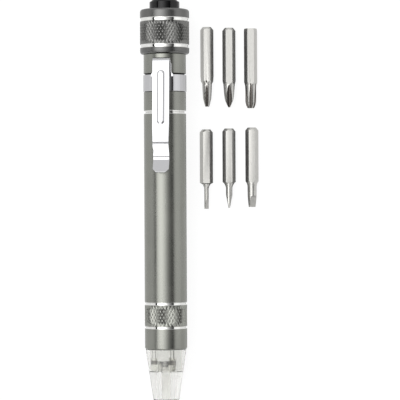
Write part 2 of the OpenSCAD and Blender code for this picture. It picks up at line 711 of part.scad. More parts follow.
module battery_spring() {
  color(steel_bright) place_pen() translate([0, 0, battery_spring_z])
    coil(battery_spring_r, battery_spring_len, battery_curls, battery_wire);
}

module switch_plunger() {
  color("#d8d8d2") place_pen() translate([0, 0, plunger_z])
    cylinder(r = plunger_r, h = button_flange_z - plunger_z);
}

module button_spring() {
  color(steel_bright) place_pen() translate([0, 0, switch_top_z])
    coil(button_spring_r, button_spring_len, button_curls, button_wire);
}

// Push button: a flange held under the cap's top, a round side and a low dome
module button() {
  dome_foot_r = button_r - button_round;
  color(black_plastic) place_pen() rotate_extrude() polygon(concat(
    [[0, button_flange_z], [button_flange_r, button_flange_z],
      [button_flange_r, button_flange_z + button_flange_t], [button_r, button_flange_z + button_flange_t]],
    [for (a = [0:15:90]) [button_r - button_round * (1 - cos(a)),
      button_side_z - button_round * (1 - sin(a))]],
    [for (a = [10:10:90]) [dome_foot_r * cos(a), button_side_z + dome_rise * sin(a)]]));
}

// Hexagon shank and turned point of a bit. The shares give the point's outline from the tip up
module bit_blank(shares, bevel_r) {
  intersection() {
    cylinder(r = bit_corner_r, h = bit_len, $fn = 6);
    rotate_extrude() polygon(concat(
      [[0, 0]],
      [for (p = shares) [p[0] * bit_af, p[1] * point_len]],
      [[blank_r, point_len], [blank_r, bit_len - bit_bevel_h],
        [bevel_r, bit_len], [0, bit_len]]));
  }
}

// Round-bottomed flutes that start at the tip and run out on the shaft
module flutes(count, shares, turn) {
  cutter_r = shares[0] * bit_af;
  core = shares[1] * bit_af;
  run = shares[2] * point_len;
  tilt = atan((bit_af / 2 - core) / run);
  for (i = [0:count - 1]) rotate([0, 0, turn + i * 360 / count])
    translate([core + cutter_r, 0, 0]) rotate([0, tilt, 0])
      translate([0, 0, -bit_af]) cylinder(r = cutter_r, h = run + 2 * bit_af);
}

// Blade: the point is ground flat on both sides, thinnest at the edge
module blade(shares, turn) {
  half_edge = shares[0] * bit_af / 2;
  run = shares[1] * point_len;
  shoulder_x = blade_shoulder_shares[0] * bit_af;
  shoulder_z = blade_shoulder_shares[1] * run;
  rotate([0, 0, turn]) rotate([90, 0, 0]) translate([0, 0, -bit_af])
    linear_extrude(2 * bit_af) polygon([[-half_edge, -over], [half_edge, -over], [half_edge, 0],
      [shoulder_x, shoulder_z], [bit_af, run], [bit_af, bit_len + over], [-bit_af, bit_len + over],
      [-bit_af, run], [-shoulder_x, shoulder_z], [-half_edge, 0]]);
}

module cross_bit_small() {
  color(bit_steel) place_bit(0) difference() {
    bit_blank(cross_small_shares, bit_bevel_r);
    flutes(cross_flute_count, cross_small_flute_shares, bit_turns[0]);
  }
}

module cross_bit_large() {
  color(bit_steel) place_bit(1) difference() {
    bit_blank(cross_large_shares, bit_bevel_r);
    flutes(cross_flute_count, cross_large_flute_shares, bit_turns[1]);
  }
}

module star_bit() {
  color(bit_steel) place_bit(2) difference() {
    bit_blank(star_shares, star_bevel_r);
    flutes(star_flute_count, star_flute_shares, bit_turns[2]);
  }
}

module slot_bit_small() {
  color(bit_steel) place_bit(3) intersection() {
    bit_blank(slot_small_shares, bit_bevel_r);
    blade(slot_small_blade_shares, bit_turns[3]);
  }
}

module slot_bit_medium() {
  color(bit_steel) place_bit(4) intersection() {
    bit_blank(slot_medium_shares, bit_bevel_r);
    blade(slot_medium_blade_shares, bit_turns[4]);
  }
}

module slot_bit_large() {
  color(bit_steel) place_bit(5) intersection() {
    bit_blank(slot_large_shares, bit_bevel_r);
    blade(slot_large_blade_shares, bit_turns[5]);
  }
}

nose_cone();
socket_magnet();
led(0);  // led_1
led(1);  // led_2
led(2);  // led_3
led_board();
front_spring();
front_sleeve();
lower_barrel();
upper_barrel();
seam_seal();
bit_rack();
contact_rod();
contact_plate();
battery_tube();
battery_cell(0);  // battery_cell_1
battery_cell(1);  // battery_cell_2
battery_cell(2);  // battery_cell_3
neck_seal();
clip_band();
clip_arm();
tail_cap();
switch_body();
battery_spring();
switch_plunger();
button_spring();
button();
cross_bit_small();
cross_bit_large();
star_bit();
slot_bit_small();
slot_bit_medium();
slot_bit_large();
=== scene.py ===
"""Looks of a pocket screwdriver pen and its six loose bits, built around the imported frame."""

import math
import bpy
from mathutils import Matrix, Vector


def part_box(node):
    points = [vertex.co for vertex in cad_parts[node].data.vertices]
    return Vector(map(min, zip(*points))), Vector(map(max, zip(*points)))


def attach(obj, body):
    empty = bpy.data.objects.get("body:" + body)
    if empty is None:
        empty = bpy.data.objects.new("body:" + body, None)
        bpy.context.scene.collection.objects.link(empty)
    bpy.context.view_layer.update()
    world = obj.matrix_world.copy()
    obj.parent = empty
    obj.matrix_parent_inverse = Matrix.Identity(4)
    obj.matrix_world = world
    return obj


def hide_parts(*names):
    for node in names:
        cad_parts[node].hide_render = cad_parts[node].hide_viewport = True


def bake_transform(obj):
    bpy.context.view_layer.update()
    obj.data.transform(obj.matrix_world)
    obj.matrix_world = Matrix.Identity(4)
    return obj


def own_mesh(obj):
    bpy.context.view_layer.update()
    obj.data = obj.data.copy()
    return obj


bl_info = {
    "name": "Pocket screwdriver set",
    "version": (1, 0, 0),
    "blender": (4, 5, 0),
    "location": "View3D > Sidebar > Screwdriver",
    "description": "Dresses a pocket screwdriver pen, its clip and its loose bits",
    "category": "Object",
}

import bmesh
import bpy
from bpy.props import FloatProperty, IntProperty, PointerProperty, StringProperty
from mathutils import Matrix, Vector

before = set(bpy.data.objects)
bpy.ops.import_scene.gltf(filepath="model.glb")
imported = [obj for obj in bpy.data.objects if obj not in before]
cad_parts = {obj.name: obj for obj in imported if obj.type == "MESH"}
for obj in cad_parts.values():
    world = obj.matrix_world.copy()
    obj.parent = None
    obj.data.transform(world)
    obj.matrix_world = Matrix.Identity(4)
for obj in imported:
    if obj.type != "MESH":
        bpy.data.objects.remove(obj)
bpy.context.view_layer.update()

MM = 0.001
LOW, HIGH = 0, 1

# Gap of a slip fit between two pieces
FIT = 0.05 * MM

# Roundings of an outline's corners: a crisp edge, a bevel's edge, a deburred edge and an eased one
CRISP, BEVELLED, DEBURRED, EASED = 0.04 * MM, 0.05 * MM, 0.08 * MM, 0.1 * MM

# Finishes of an outline's stretches, as places in the piece's materials. An open stretch gets no faces
SKIN, BARE, KNURL, SHADED_GROOVE, OPEN = 0, 1, 2, 2, None

# Where the frame puts the pen: its axis runs along Y, and heights count from the nose tip
BARREL_LOW, BARREL_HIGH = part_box("lower_barrel")
AXIS_X = (BARREL_LOW.x + BARREL_HIGH.x) / 2
AXIS_Z = (BARREL_LOW.z + BARREL_HIGH.z) / 2
TIP_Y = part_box("nose_cone")[LOW].y


def height_of(node, end):
    """Distance of a node's lower or upper end from the nose tip, along the pen."""
    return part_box(node)[end].y - TIP_Y


def radius_of(node):
    """Half of a node's size across the pen."""
    low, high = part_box(node)
    return (high.x - low.x) / 2


BARREL_R, CAP_R = radius_of("lower_barrel"), radius_of("tail_cap")
SLEEVE_U, JOIN_U = height_of("front_sleeve", LOW), height_of("front_sleeve", HIGH)
SEAM_U = height_of("lower_barrel", HIGH)
CAP_U, CAP_TOP_U = height_of("tail_cap", LOW), height_of("tail_cap", HIGH)
PEN_TOP_U = height_of("button", HIGH)


def size(name, about, default, low=0.0, high=1.0):
    """Length setting in metres, from a default in millimetres."""
    return FloatProperty(name=name, description=about, default=default * MM, min=low, max=high,
                         unit="LENGTH", precision=5)


def turn(name, about, degrees):
    """Angle setting, from a default in degrees."""
    return FloatProperty(name=name, description=about, default=math.radians(degrees), subtype="ANGLE")


def colour(name, about, default):
    """Colour setting, as an sRGB hex value."""
    return StringProperty(name=name, description=about, default=default)


class BarrelSettings(bpy.types.PropertyGroup):
    """Barrels and front sleeve"""

    wall: size("Wall", "Wall of the barrel tubes", 1.0)
    seam_bevel: size("Seam bevel", "Bevel on each side of the split", 0.55)
    ring_depth: size("Ring depth", "Depth of the polished turned rings", 0.3)
    sleeve_plain: size("Plain length", "Plain front part of the front sleeve", 7.2)
    sleeve_ring: size("Sleeve ring", "Width of a polished ring on the sleeve", 0.8)
    knurl_pitch: size("Knurl pitch", "Distance between the knurl's grooves round the girth", 1.15)
    knurl_row: size("Knurl row", "Height of one row of half diamonds", 1.03)
    knurl_depth: size("Knurl depth", "Depth of the knurl", 0.2)
    segments: IntProperty(name="Segments", description="Facets round a plain barrel", default=144, min=24)
    skin: colour("Skin", "Grey of the barrels' anodised skin", "#8F908A")
    # The front knurl's grey is the skin painted a little lighter, as painted sheen
    knurl_skin_with_sheen: colour("Knurl skin", "Grey of the front knurl, rubbed a little lighter", "#979892")
    # The groove's dark grey is painted shade for the gap beside the clip's band
    groove: colour("Groove", "Dull dark of the clip's groove", "#2A2A28")
    bare: colour("Bare metal", "Colour of the turned bare aluminium", "#F4F4F2")


class CapSettings(bpy.types.PropertyGroup):
    """Tail cap and push button"""

    flange: size("Flange", "Length of the cap's flange", 2.2)
    ring: size("Ring", "Width of a polished ring on the cap", 1.2)
    knurl: size("Knurl", "Length of the cap's knurled band", 8.05)
    corner: size("Corner", "Rounding at the cap's ends", 1.1)
    top: size("Top", "Thickness of the cap's top", 1.4)
    top_drop: size("Top drop", "How far the cap's top lies below its solid", 0.4)
    neck: size("Neck", "Length of the barrel's neck in the cap", 6.2)
    neck_radius: size("Neck radius", "Radius of the barrel's neck", 7.0)
    button_radius: size("Button radius", "Radius of the push button", 5.25)
    button_round: size("Button edge", "Rounding of the button's edge", 0.7)
    dome: size("Dome", "Height of the button's dome", 1.0)
    skin: colour("Skin", "Darker grey of the cap's anodised skin", "#6F6F6E")
    # The cap's knurl grey is the skin painted a little lighter, as painted sheen
    knurl_skin_with_sheen: colour("Knurl skin", "Grey of the cap's knurl, rubbed a little lighter", "#7A7A78")
    button: colour("Button", "Black of the push button", "#0A0A0B")


class NoseSettings(bpy.types.PropertyGroup):
    """Clear nose and what shows through it"""

    tip_radius: size("Tip radius", "Radius of the nose at its tip", 4.45)
    tip_round: size("Tip rounding", "Rounding at the nose's tip", 1.0)
    base_radius: size("Base radius", "Radius of the nose at the sleeve", 7.15)
    spigot_radius: size("Spigot radius", "Radius of the nose inside the sleeve", 6.2)
    core_radius: size("Core radius", "Radius of the core round the socket", 2.86)
    core_height: size("Core height", "Height of the core's end", 14.25)
    room_radius: size("Lamp room radius", "Radius of the room for the lamps", 5.66)
    room_height: size("Lamp room height", "Height of the lamp room's floor", 10.45)
    socket: size("Socket", "Size of the hexagon socket across its flats", 4.1)
    socket_depth: size("Socket depth", "Depth of the socket", 12.2)
    magnet: size("Magnet room", "Diameter of the magnet's room", 4.1)
    clear: colour("Acrylic", "Clear of the nose", "#F3F3F0")
    resin: colour("Lamp resin", "Clear of the lamps", "#FBFBF6")
    lamp_metal: colour("Lamp metal", "Grey of the frames in the lamps", "#7E7B79")
    nickel: colour("Nickel", "Plate of the socket's magnet", "#8E8E90")
    lacquer: colour("Lacquer", "White of the circuit board", "#D9DAD3")


class ClipSettings(bpy.types.PropertyGroup):
    """Pocket clip"""

    width: size("Width", "Width of the clip's arm", 5.9)
    band: size("Band", "Width of the band round the barrel", 5.75)
    sheet: size("Sheet", "Thickness of the clip's sheet", 0.5)
    gap: size("Gap", "Free height between barrel and arm", 3.1)
    bead_width: size("Bead width", "Width of the bead pressed into the arm", 2.5)
    bead_length: size("Bead length", "Length of the bead", 18.5)
    bead_height: size("Bead height", "Height of the bead", 0.34)
    bead_flank: size("Bead flank", "Width of the bead's sloping flank", 0.45)
    crease: size("Crease", "Length of the crease where the arm bends down", 0.5)
    crease_drop: size("Crease drop", "Fall of the arm over its crease", 0.09)
    heel: size("Heel", "Height of the finer crease above the lip's start", 0.3)
    band_drop: size("Band drop", "How far the band lies below its solid", 0.3)
    tab_extra: size("Tab extra", "How much wider the tab is than the arm, on each side", 0.3)
    skew: size("Skew", "How far the arm's end stands off to the left", 0.42)
    edge: size("Edge", "Rounding of the sheet's tumbled edges", 0.15)
    roll: turn("Roll", "Turn of the clip about the pen", -6)
    steel: colour("Steel", "Bright steel of the clip", "#C8C8CA")


class InsideSettings(bpy.types.PropertyGroup):
    """Finishes of the pieces inside the pen"""

    wire: colour("Spring wire", "Grey of the springs", "#C9C9C8")
    can: colour("Cell can", "Plate of the button cells", "#D2D2D4")
    brass: colour("Brass", "Yellow of the contact rod and plate", "#C9A857")
    rack: colour("Rack", "Black of the bit rack and the switch body", "#1C1C1D")
    plunger: colour("Plunger", "White of the switch plunger", "#D9D8D2")
    rubber: colour("Rubber", "Black of the seals", "#151515")
    tube: colour("Tube", "Clear of the tube round the cells", "#F0F0EC")


class BitSettings(bpy.types.PropertyGroup):
    """Loose bits"""

    flats: size("Across flats", "Size of the bits' hexagon across flats", 4.0)
    shank: size("Shank", "Length of the hexagon shank", 18.8)
    edge: size("Edge", "Rounding of a bit's ground edges", 0.05)
    steel: colour("Steel", "Plated steel of the bits", "#C8C7C3")
    # Only the flutes take this darker steel: partly bare ground steel, partly painted shade in the flutes
    ground: colour("Ground steel", "Darker steel of the cut points", "#625E5A")


class StageSettings(bpy.types.PropertyGroup):
    """Floor and camera"""

    distance: size("Distance", "Height of the camera over the table", 740.0)
    width: size("Width", "Width of the view at the bits", 141.2)
    bits_height: size("Bits height", "Height of the loose bits' middles over the table", 2.0)
    roll: turn("Roll", "Turn of the camera about its view", -0.28)
    shift_x: size("Aim X", "Where the view's middle lies, across the pen", 0.0, low=-1.0)
    shift_y: size("Aim Y", "Where the view's middle lies, along the pen", -0.17, low=-1.0)
    floor: colour("Floor", "Pale floor", "#F7F7F6")


def settings(group):
    """The scene's settings of a group."""
    return getattr(bpy.context.scene, "pen_" + group)


def linear(code):
    """Linear colour of an sRGB hex value."""
    parts = [int(code[i:i + 2], 16) / 255 for i in (1, 3, 5)]
    return [p / 12.92 if p <= 0.04045 else ((p + 0.055) / 1.055) ** 2.4 for p in parts]


def shade(code, share):
    """Linear colour made darker or lighter by a share."""
    return (*(min(1.0, c * share) for c in linear(code)), 1.0)


def grey(level):
    """Linear grey."""
    return level, level, level, 1.0


def add_node(tree, kind, inputs=None, links=None, **options):
    """Adds a node, sets its options and input values, and links its inputs to the given outputs."""
    node = tree.nodes.new(kind)
    for key, value in options.items():
        setattr(node, key, value)
    for key, value in (inputs or {}).items():
        node.inputs[key].default_value = value
    for key, source in (links or {}).items():
        tree.links.new(source, node.inputs[key])
    return node


def empty_material(name):
    """Material without nodes, and its node tree."""
    material = bpy.data.materials.new(name)
    material.use_nodes = True
    material.node_tree.nodes.clear()
    return material, material.node_tree


def noise(tree, periods_mm, detail=3.0, rough=0.55):
    """Noise whose lumps have a real size along each axis, in millimetres."""
    place = add_node(tree, "ShaderNodeTexCoord")
    scaled = add_node(tree, "ShaderNodeMapping", inputs={"Scale": [1 / (p * MM) for p in periods_mm]},
                      links={"Vector": place.outputs["Object"]})
    return add_node(tree, "ShaderNodeTexNoise", inputs={"Scale": 1.0, "Detail": detail, "Roughness": rough},
                    links={"Vector": scaled.outputs["Vector"]}).outputs["Fac"]


def from_axis(tree):
    """Distance of a point from the pen's axis, in metres."""
    place = add_node(tree, "ShaderNodeTexCoord")
    across = add_node(tree, "ShaderNodeMapping", links={"Vector": place.outputs["Object"]},
                      inputs={"Location": (-AXIS_X, 0, -AXIS_Z), "Scale": (1, 0, 1)})
    return add_node(tree, "ShaderNodeVectorMath", operation="LENGTH",
                    links={0: across.outputs["Vector"]}).outputs["Value"]


# Stretch of a noise's values that a finish runs over: all for faint clouds, the middle for mottling
CLOUDY, MOTTLED = (0.0, 1.0), (0.3, 0.7)
METAL = {"Metallic": 1.0}


def surface(tree, colours, gloss, reliefs, values):
    """Shader whose colour, roughness and relief follow noises, with plain values for the rest.
    Colours are (noise, stretch, dark, light), gloss is (noise, smoothest, roughest), and each relief is
    (noise, depth in mm), the lower ones first."""
    clouds, stretch, dark, light = colours
    share = add_node(tree, "ShaderNodeMapRange", links={"Value": clouds},
                     inputs={"From Min": stretch[0], "From Max": stretch[1]})
    skin = add_node(tree, "ShaderNodeMix", data_type="RGBA", inputs={6: dark, 7: light},
                    links={0: share.outputs["Result"]})
    wear, smoothest, roughest = gloss
    rough = add_node(tree, "ShaderNodeMapRange", links={"Value": wear},
                     inputs={"From Min": MOTTLED[0], "From Max": MOTTLED[1], "To Min": smoothest,
                             "To Max": roughest})
    links = {"Base Color": skin.outputs[2], "Roughness": rough.outputs["Result"]}
    for height, depth_mm in reliefs:
        below = {"Normal": links["Normal"]} if "Normal" in links else {}
        relief = add_node(tree, "ShaderNodeBump", inputs={"Strength": 1.0, "Distance": depth_mm * MM},
                          links={"Height": height, **below})
        links["Normal"] = relief.outputs["Normal"]
    shader = add_node(tree, "ShaderNodeBsdfPrincipled", inputs=values, links=links)
    add_node(tree, "ShaderNodeOutputMaterial", links={"Surface": shader.outputs["BSDF"]})
    return shader, skin


def anodised_aluminium(name, code, smoothest, roughest, knurl=None):
    """Turned aluminium, etched and dyed grey: satin, with faint turning lines and tiny pits.
    On a knurl, given by its radius and depth, the grooves are painted a little darker than the lands, as painted
    shade."""
    material, tree = empty_material(name)
    # A lathe feeds about 0.1 mm a turn. Etched pits are some 0.03 mm wide, and are drawn coarser to show
    cloud = noise(tree, (6.0, 9.0, 6.0), detail=4.0)
    lines = noise(tree, (40.0, 0.12, 40.0), detail=2.0)
    pits = noise(tree, (0.16, 0.16, 0.16), detail=2.0)
    shader, skin = surface(tree, (cloud, MOTTLED, shade(code, 0.95), shade(code, 1.05)),
                           (cloud, smoothest, roughest), ((lines, 0.0001), (pits, 0.0008)), METAL)
    if knurl:
        radius, depth = knurl
        # Painted shade: the knurl's grooves are coloured darker than its lands, by their depth
        land = add_node(tree, "ShaderNodeMapRange", links={"Value": from_axis(tree)},
                        inputs={"From Min": radius - depth, "From Max": radius - depth * 0.15})
        shaded_grooves = add_node(tree, "ShaderNodeMix", data_type="RGBA", inputs={6: shade(code, 0.95)},
                         links={0: land.outputs["Result"], 7: skin.outputs[2]})
        tree.links.new(shaded_grooves.outputs[2], shader.inputs["Base Color"])
    return material


def turned_aluminium(name, code):
    """Bare aluminium cut by a diamond tool: mirror bright, with very fine rings."""
    material, tree = empty_material(name)
    # A finishing cut feeds about 0.05 mm a turn
    lines = noise(tree, (40.0, 0.06, 40.0), detail=2.0)
    surface(tree, (lines, CLOUDY, shade(code, 0.92), shade(code, 1.0)), (lines, 0.05, 0.09),
            ((lines, 0.0003),), METAL)
    return material


def polished_steel_sheet(name, code):
    """Stainless sheet, stamped and barrel polished: bright, with soft waves and hair scratches."""
    material, tree = empty_material(name)
    # Tumbling leaves scratches of about 0.02 mm, drawn coarser to show
    waves = noise(tree, (4.0, 7.0, 4.0), detail=2.0)
    hairs = noise(tree, (0.08, 6.0, 0.08), detail=2.0)
    surface(tree, (waves, CLOUDY, shade(code, 0.94), shade(code, 1.0)), (hairs, 0.06, 0.11),
            ((hairs, 0.0003), (waves, 0.01)), METAL)
    return material


def plated_tool_steel(name, code, smoothest, roughest):
    """Ground hexagon steel with a nickel plate: satin, with lengthwise grinding lines and mottling."""
    material, tree = empty_material(name)
    # Grinding leaves lines of about 0.03 mm, drawn coarser to show
    mottle = noise(tree, (0.5, 1.2, 0.5), detail=4.0, rough=0.65)
    lines = noise(tree, (0.09, 5.0, 0.09), detail=2.0)
    surface(tree, (mottle, MOTTLED, shade(code, 0.88), shade(code, 1.04)), (mottle, smoothest, roughest),
            ((mottle, 0.003), (lines, 0.0008)), METAL)
    return material


def moulded_plastic(name, code, smoothest, roughest, grain_mm, grain_depth_mm, ior=1.5):
    """Injection moulded plastic: an even colour with slight flow clouds and the mould's grain."""
    material, tree = empty_material(name)
    # A mould's spark-eroded grain is about 0.05 mm, and is drawn coarser to show
    cloud = noise(tree, (5.0, 5.0, 5.0))
    grain = noise(tree, (grain_mm,) * 3, detail=2.0)
    surface(tree, (cloud, CLOUDY, shade(code, 0.9), shade(code, 1.1)), (cloud, smoothest, roughest),
            ((grain, grain_depth_mm),), {"IOR": ior})
    return material


def clear_plastic(name, code, smoothest, roughest, haze):
    """Clear moulded plastic: see-through, with slight haze and flow lines from the mould."""
    material, tree = empty_material(name)
    flow = noise(tree, (2.5, 8.0, 2.5), detail=3.0)
    surface(tree, (flow, CLOUDY, shade(code, 0.97), shade(code, 1.0)), (flow, smoothest, roughest),
            ((flow, 0.004),), {"IOR": 1.49, "Transmission Weight": 1.0 - haze})
    return material


def drawn_metal(name, code, smoothest, roughest):
    """Drawn or stamped bare metal, for wire, rods and contact plates: dull, with draw lines and stains."""
    material, tree = empty_material(name)
    # A draw die leaves lines of about 0.02 mm, drawn coarser to show
    stain = noise(tree, (1.5, 3.0, 1.5), detail=4.0)
    lines = noise(tree, (0.1, 2.0, 0.1), detail=2.0)
    surface(tree, (stain, MOTTLED, shade(code, 0.85), shade(code, 1.05)), (lines, smoothest, roughest),
            ((lines, 0.0008),), METAL)
    return material


def lacquered_board(name, code):
    """Glass-fibre circuit board under white lacquer, with the weave just showing."""
    material, tree = empty_material(name)
    # The glass cloth's threads are about 0.3 mm apart
    weave = noise(tree, (0.3, 0.3, 0.3), detail=1.0)
    surface(tree, (weave, CLOUDY, shade(code, 0.8), shade(code, 1.2)), (weave, 0.25, 0.4),
            ((weave, 0.005),), {})
    return material


def placing(x, start, z):
    """Placing about an axis along Y: from a radius, an angle and a height to a point.
    Angle 0 points to +X and a quarter turn up."""
    def place(radius, angle, height):
        return Vector((x + radius * math.cos(angle), start + height, z + radius * math.sin(angle)))
    return place


on_pen = placing(AXIS_X, TIP_Y, AXIS_Z)


def soften(outline, steps=4):
    """Rounds the corners of an outline of (radius, height, rounding, finish) points.
    The last two may be left out, for a sharp corner and the skin."""
    full = [(*point, *(0, SKIN)[len(point) - 2:]) for point in outline]
    flat = [(Vector((r, u)), rounding, finish) for r, u, rounding, finish in full]
    out = []
    for i, (point, rounding, finish) in enumerate(flat):
        before, after = flat[i - 1][0], flat[(i + 1) % len(flat)][0]
        if rounding <= 0:
            out.append((point.x, point.y, finish))
            continue
        start = point + (before - point).normalized() * rounding
        end = point + (after - point).normalized() * rounding
        for k in range(steps + 1):
            t = k / steps
            p = start * (1 - t) ** 2 + point * (2 * t * (1 - t)) + end * t * t
            out.append((p.x, p.y, finish))
    return out


def lathe(bm, outline, segments, closed=True, place=on_pen):
    """Turns an outline of (radius, height, finish) points about an axis. The finish may be left out, for
    the skin, and a radius may be a function of the angle."""
    rings = []
    for radius, height, *_ in outline:
        if radius == 0:
            rings.append([bm.verts.new(place(0, 0, height))] * segments)
            continue
        angles = [2 * math.pi * i / segments for i in range(segments)]
        radii = [radius(angle) if callable(radius) else radius for angle in angles]
        rings.append([bm.verts.new(place(r, angle, height)) for r, angle in zip(radii, angles)])
    for k in range(len(outline) if closed else len(outline) - 1):
        finish = (*outline[k], SKIN)[2]
        if finish is OPEN:
            continue
        a, b = rings[k], rings[(k + 1) % len(rings)]
        for i in range(segments):
            j = (i + 1) % segments
            corners = list(dict.fromkeys((a[i], b[i], b[j], a[j])))
            if len(corners) > 2:
                bm.faces.new(corners).material_index = finish


def tube(bm, rings):
    """Joins rings of points one after another and closes both ends."""
    rings = [[bm.verts.new(point) for point in ring] for ring in rings]
    for a, b in zip(rings, rings[1:]):
        for k in range(len(a)):
            n = (k + 1) % len(a)
            bm.faces.new((a[k], a[n], b[n], b[k]))
    bm.faces.new(rings[0])
    bm.faces.new(rings[-1])


def diamonds(bm, radius, low, high, columns, depth, row):
    """Diamond knurl: flat-topped points between two crossing sets of grooves. Its edges meet the rims."""
    rows = round((high - low) / row)
    flat_share = 0.28
    grid = {}

    def angle_at(i):
        return 2 * math.pi * i / columns

    def height_at(j):
        return low + (high - low) * j / rows

    def root(i, j):
        return grid[i % columns, j]

    for j in range(rows + 1):
        for i in range(columns):
            rim = j in (0, rows)
            if (i + j) % 2 == 1 or rim:
                r = radius if rim else radius - depth
                grid[i, j] = bm.verts.new(on_pen(r, angle_at(i), height_at(j)))
    across, along = 2 * math.pi / columns * flat_share, (high - low) / rows * flat_share
    for j in range(rows + 1):
        for i in range(columns):
            if (i + j) % 2 == 1:
                continue
            if j in (0, rows):
                inner = 1 if j == 0 else rows - 1
                for side in (-1, 1):
                    corners = root(i, j), root(i + side, j), root(i, inner)
                    bm.faces.new(corners).material_index = KNURL
                continue
            top = [bm.verts.new(on_pen(radius, angle_at(i) + da, height_at(j) + dh))
                   for da, dh in ((across, 0), (0, along), (-across, 0), (0, -along))]
            foot = [root(i + 1, j), root(i, j + 1), root(i - 1, j), root(i, j - 1)]
            bm.faces.new(top).material_index = KNURL
            for k in range(4):
                n = (k + 1) % 4
                bm.faces.new((foot[k], foot[n], top[n], top[k])).material_index = KNURL


def smooth(mesh, degrees):
    """Smooth shading that keeps the edges over an angle crisp."""
    mesh.shade_smooth()
    mesh.set_sharp_from_angle(angle=math.radians(degrees))


def finish_mesh(name, bm, materials, smooth_degrees=30.0):
    """Object of a finished mesh, with its faces facing out and its flat edges kept crisp."""
    bmesh.ops.remove_doubles(bm, verts=bm.verts, dist=1e-7)
    bmesh.ops.recalc_face_normals(bm, faces=bm.faces)
    mesh = bpy.data.meshes.new(name)
    bm.to_mesh(mesh)
    bm.free()
    for material in materials:
        mesh.materials.append(material)
    smooth(mesh, smooth_degrees)
    piece = bpy.data.objects.new(name, mesh)
    bpy.context.scene.collection.objects.link(piece)
    return piece


def turned(name, outline, segments, finishes, closed=True, place=on_pen):
    """Object of an outline turned about an axis."""
    bm = bmesh.new()
    lathe(bm, outline, segments, closed, place)
    return finish_mesh(name, bm, finishes)


def knurled(name, outline, radius, low, high, finishes):
    """Turned object with a diamond knurl from one height to another. Its columns are a multiple of four."""
    s = settings("barrel")
    columns = 4 * math.floor(math.pi / math.asin(s.knurl_pitch / 2 / radius) / 2)
    bm = bmesh.new()
    lathe(bm, outline, columns)
    diamonds(bm, radius, low, high, columns, s.knurl_depth, s.knurl_row)
    return finish_mesh(name, bm, finishes, smooth_degrees=25.0)


def baked(piece):
    """The piece with its modifiers applied to its mesh."""
    graph = bpy.context.evaluated_depsgraph_get()
    mesh = bpy.data.meshes.new_from_object(piece.evaluated_get(graph))
    piece.modifiers.clear()
    piece.data = mesh
    return piece


def combine(piece, tool, operation, solver):
    """Joins the piece with a tool, or cuts it with one. The tool is used up."""
    step = piece.modifiers.new("combine", "BOOLEAN")
    step.operation = operation
    step.object = tool
    step.solver = solver
    baked(piece)
    bpy.data.objects.remove(tool)


def round_edges(piece, width, segments, over_degrees, smooth_degrees):
    """Rounds the piece's edges that turn by more than an angle."""
    edge = piece.modifiers.new("edge", "BEVEL")
    edge.width = width
    edge.segments = segments
    edge.limit_method = "ANGLE"
    edge.angle_limit = math.radians(over_degrees)
    smooth(baked(piece).data, smooth_degrees)


def dress(piece, body, slot, *nodes):
    """The piece rides on a body and stands for its CAD nodes. The slot is not used."""
    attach(piece, body)
    if nodes:
        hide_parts(*nodes)
    return piece


def paint_nodes(material, *names):
    """Gives CAD nodes a material."""
    for name in names:
        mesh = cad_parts[name].data
        mesh.materials.clear()
        mesh.materials.append(material)


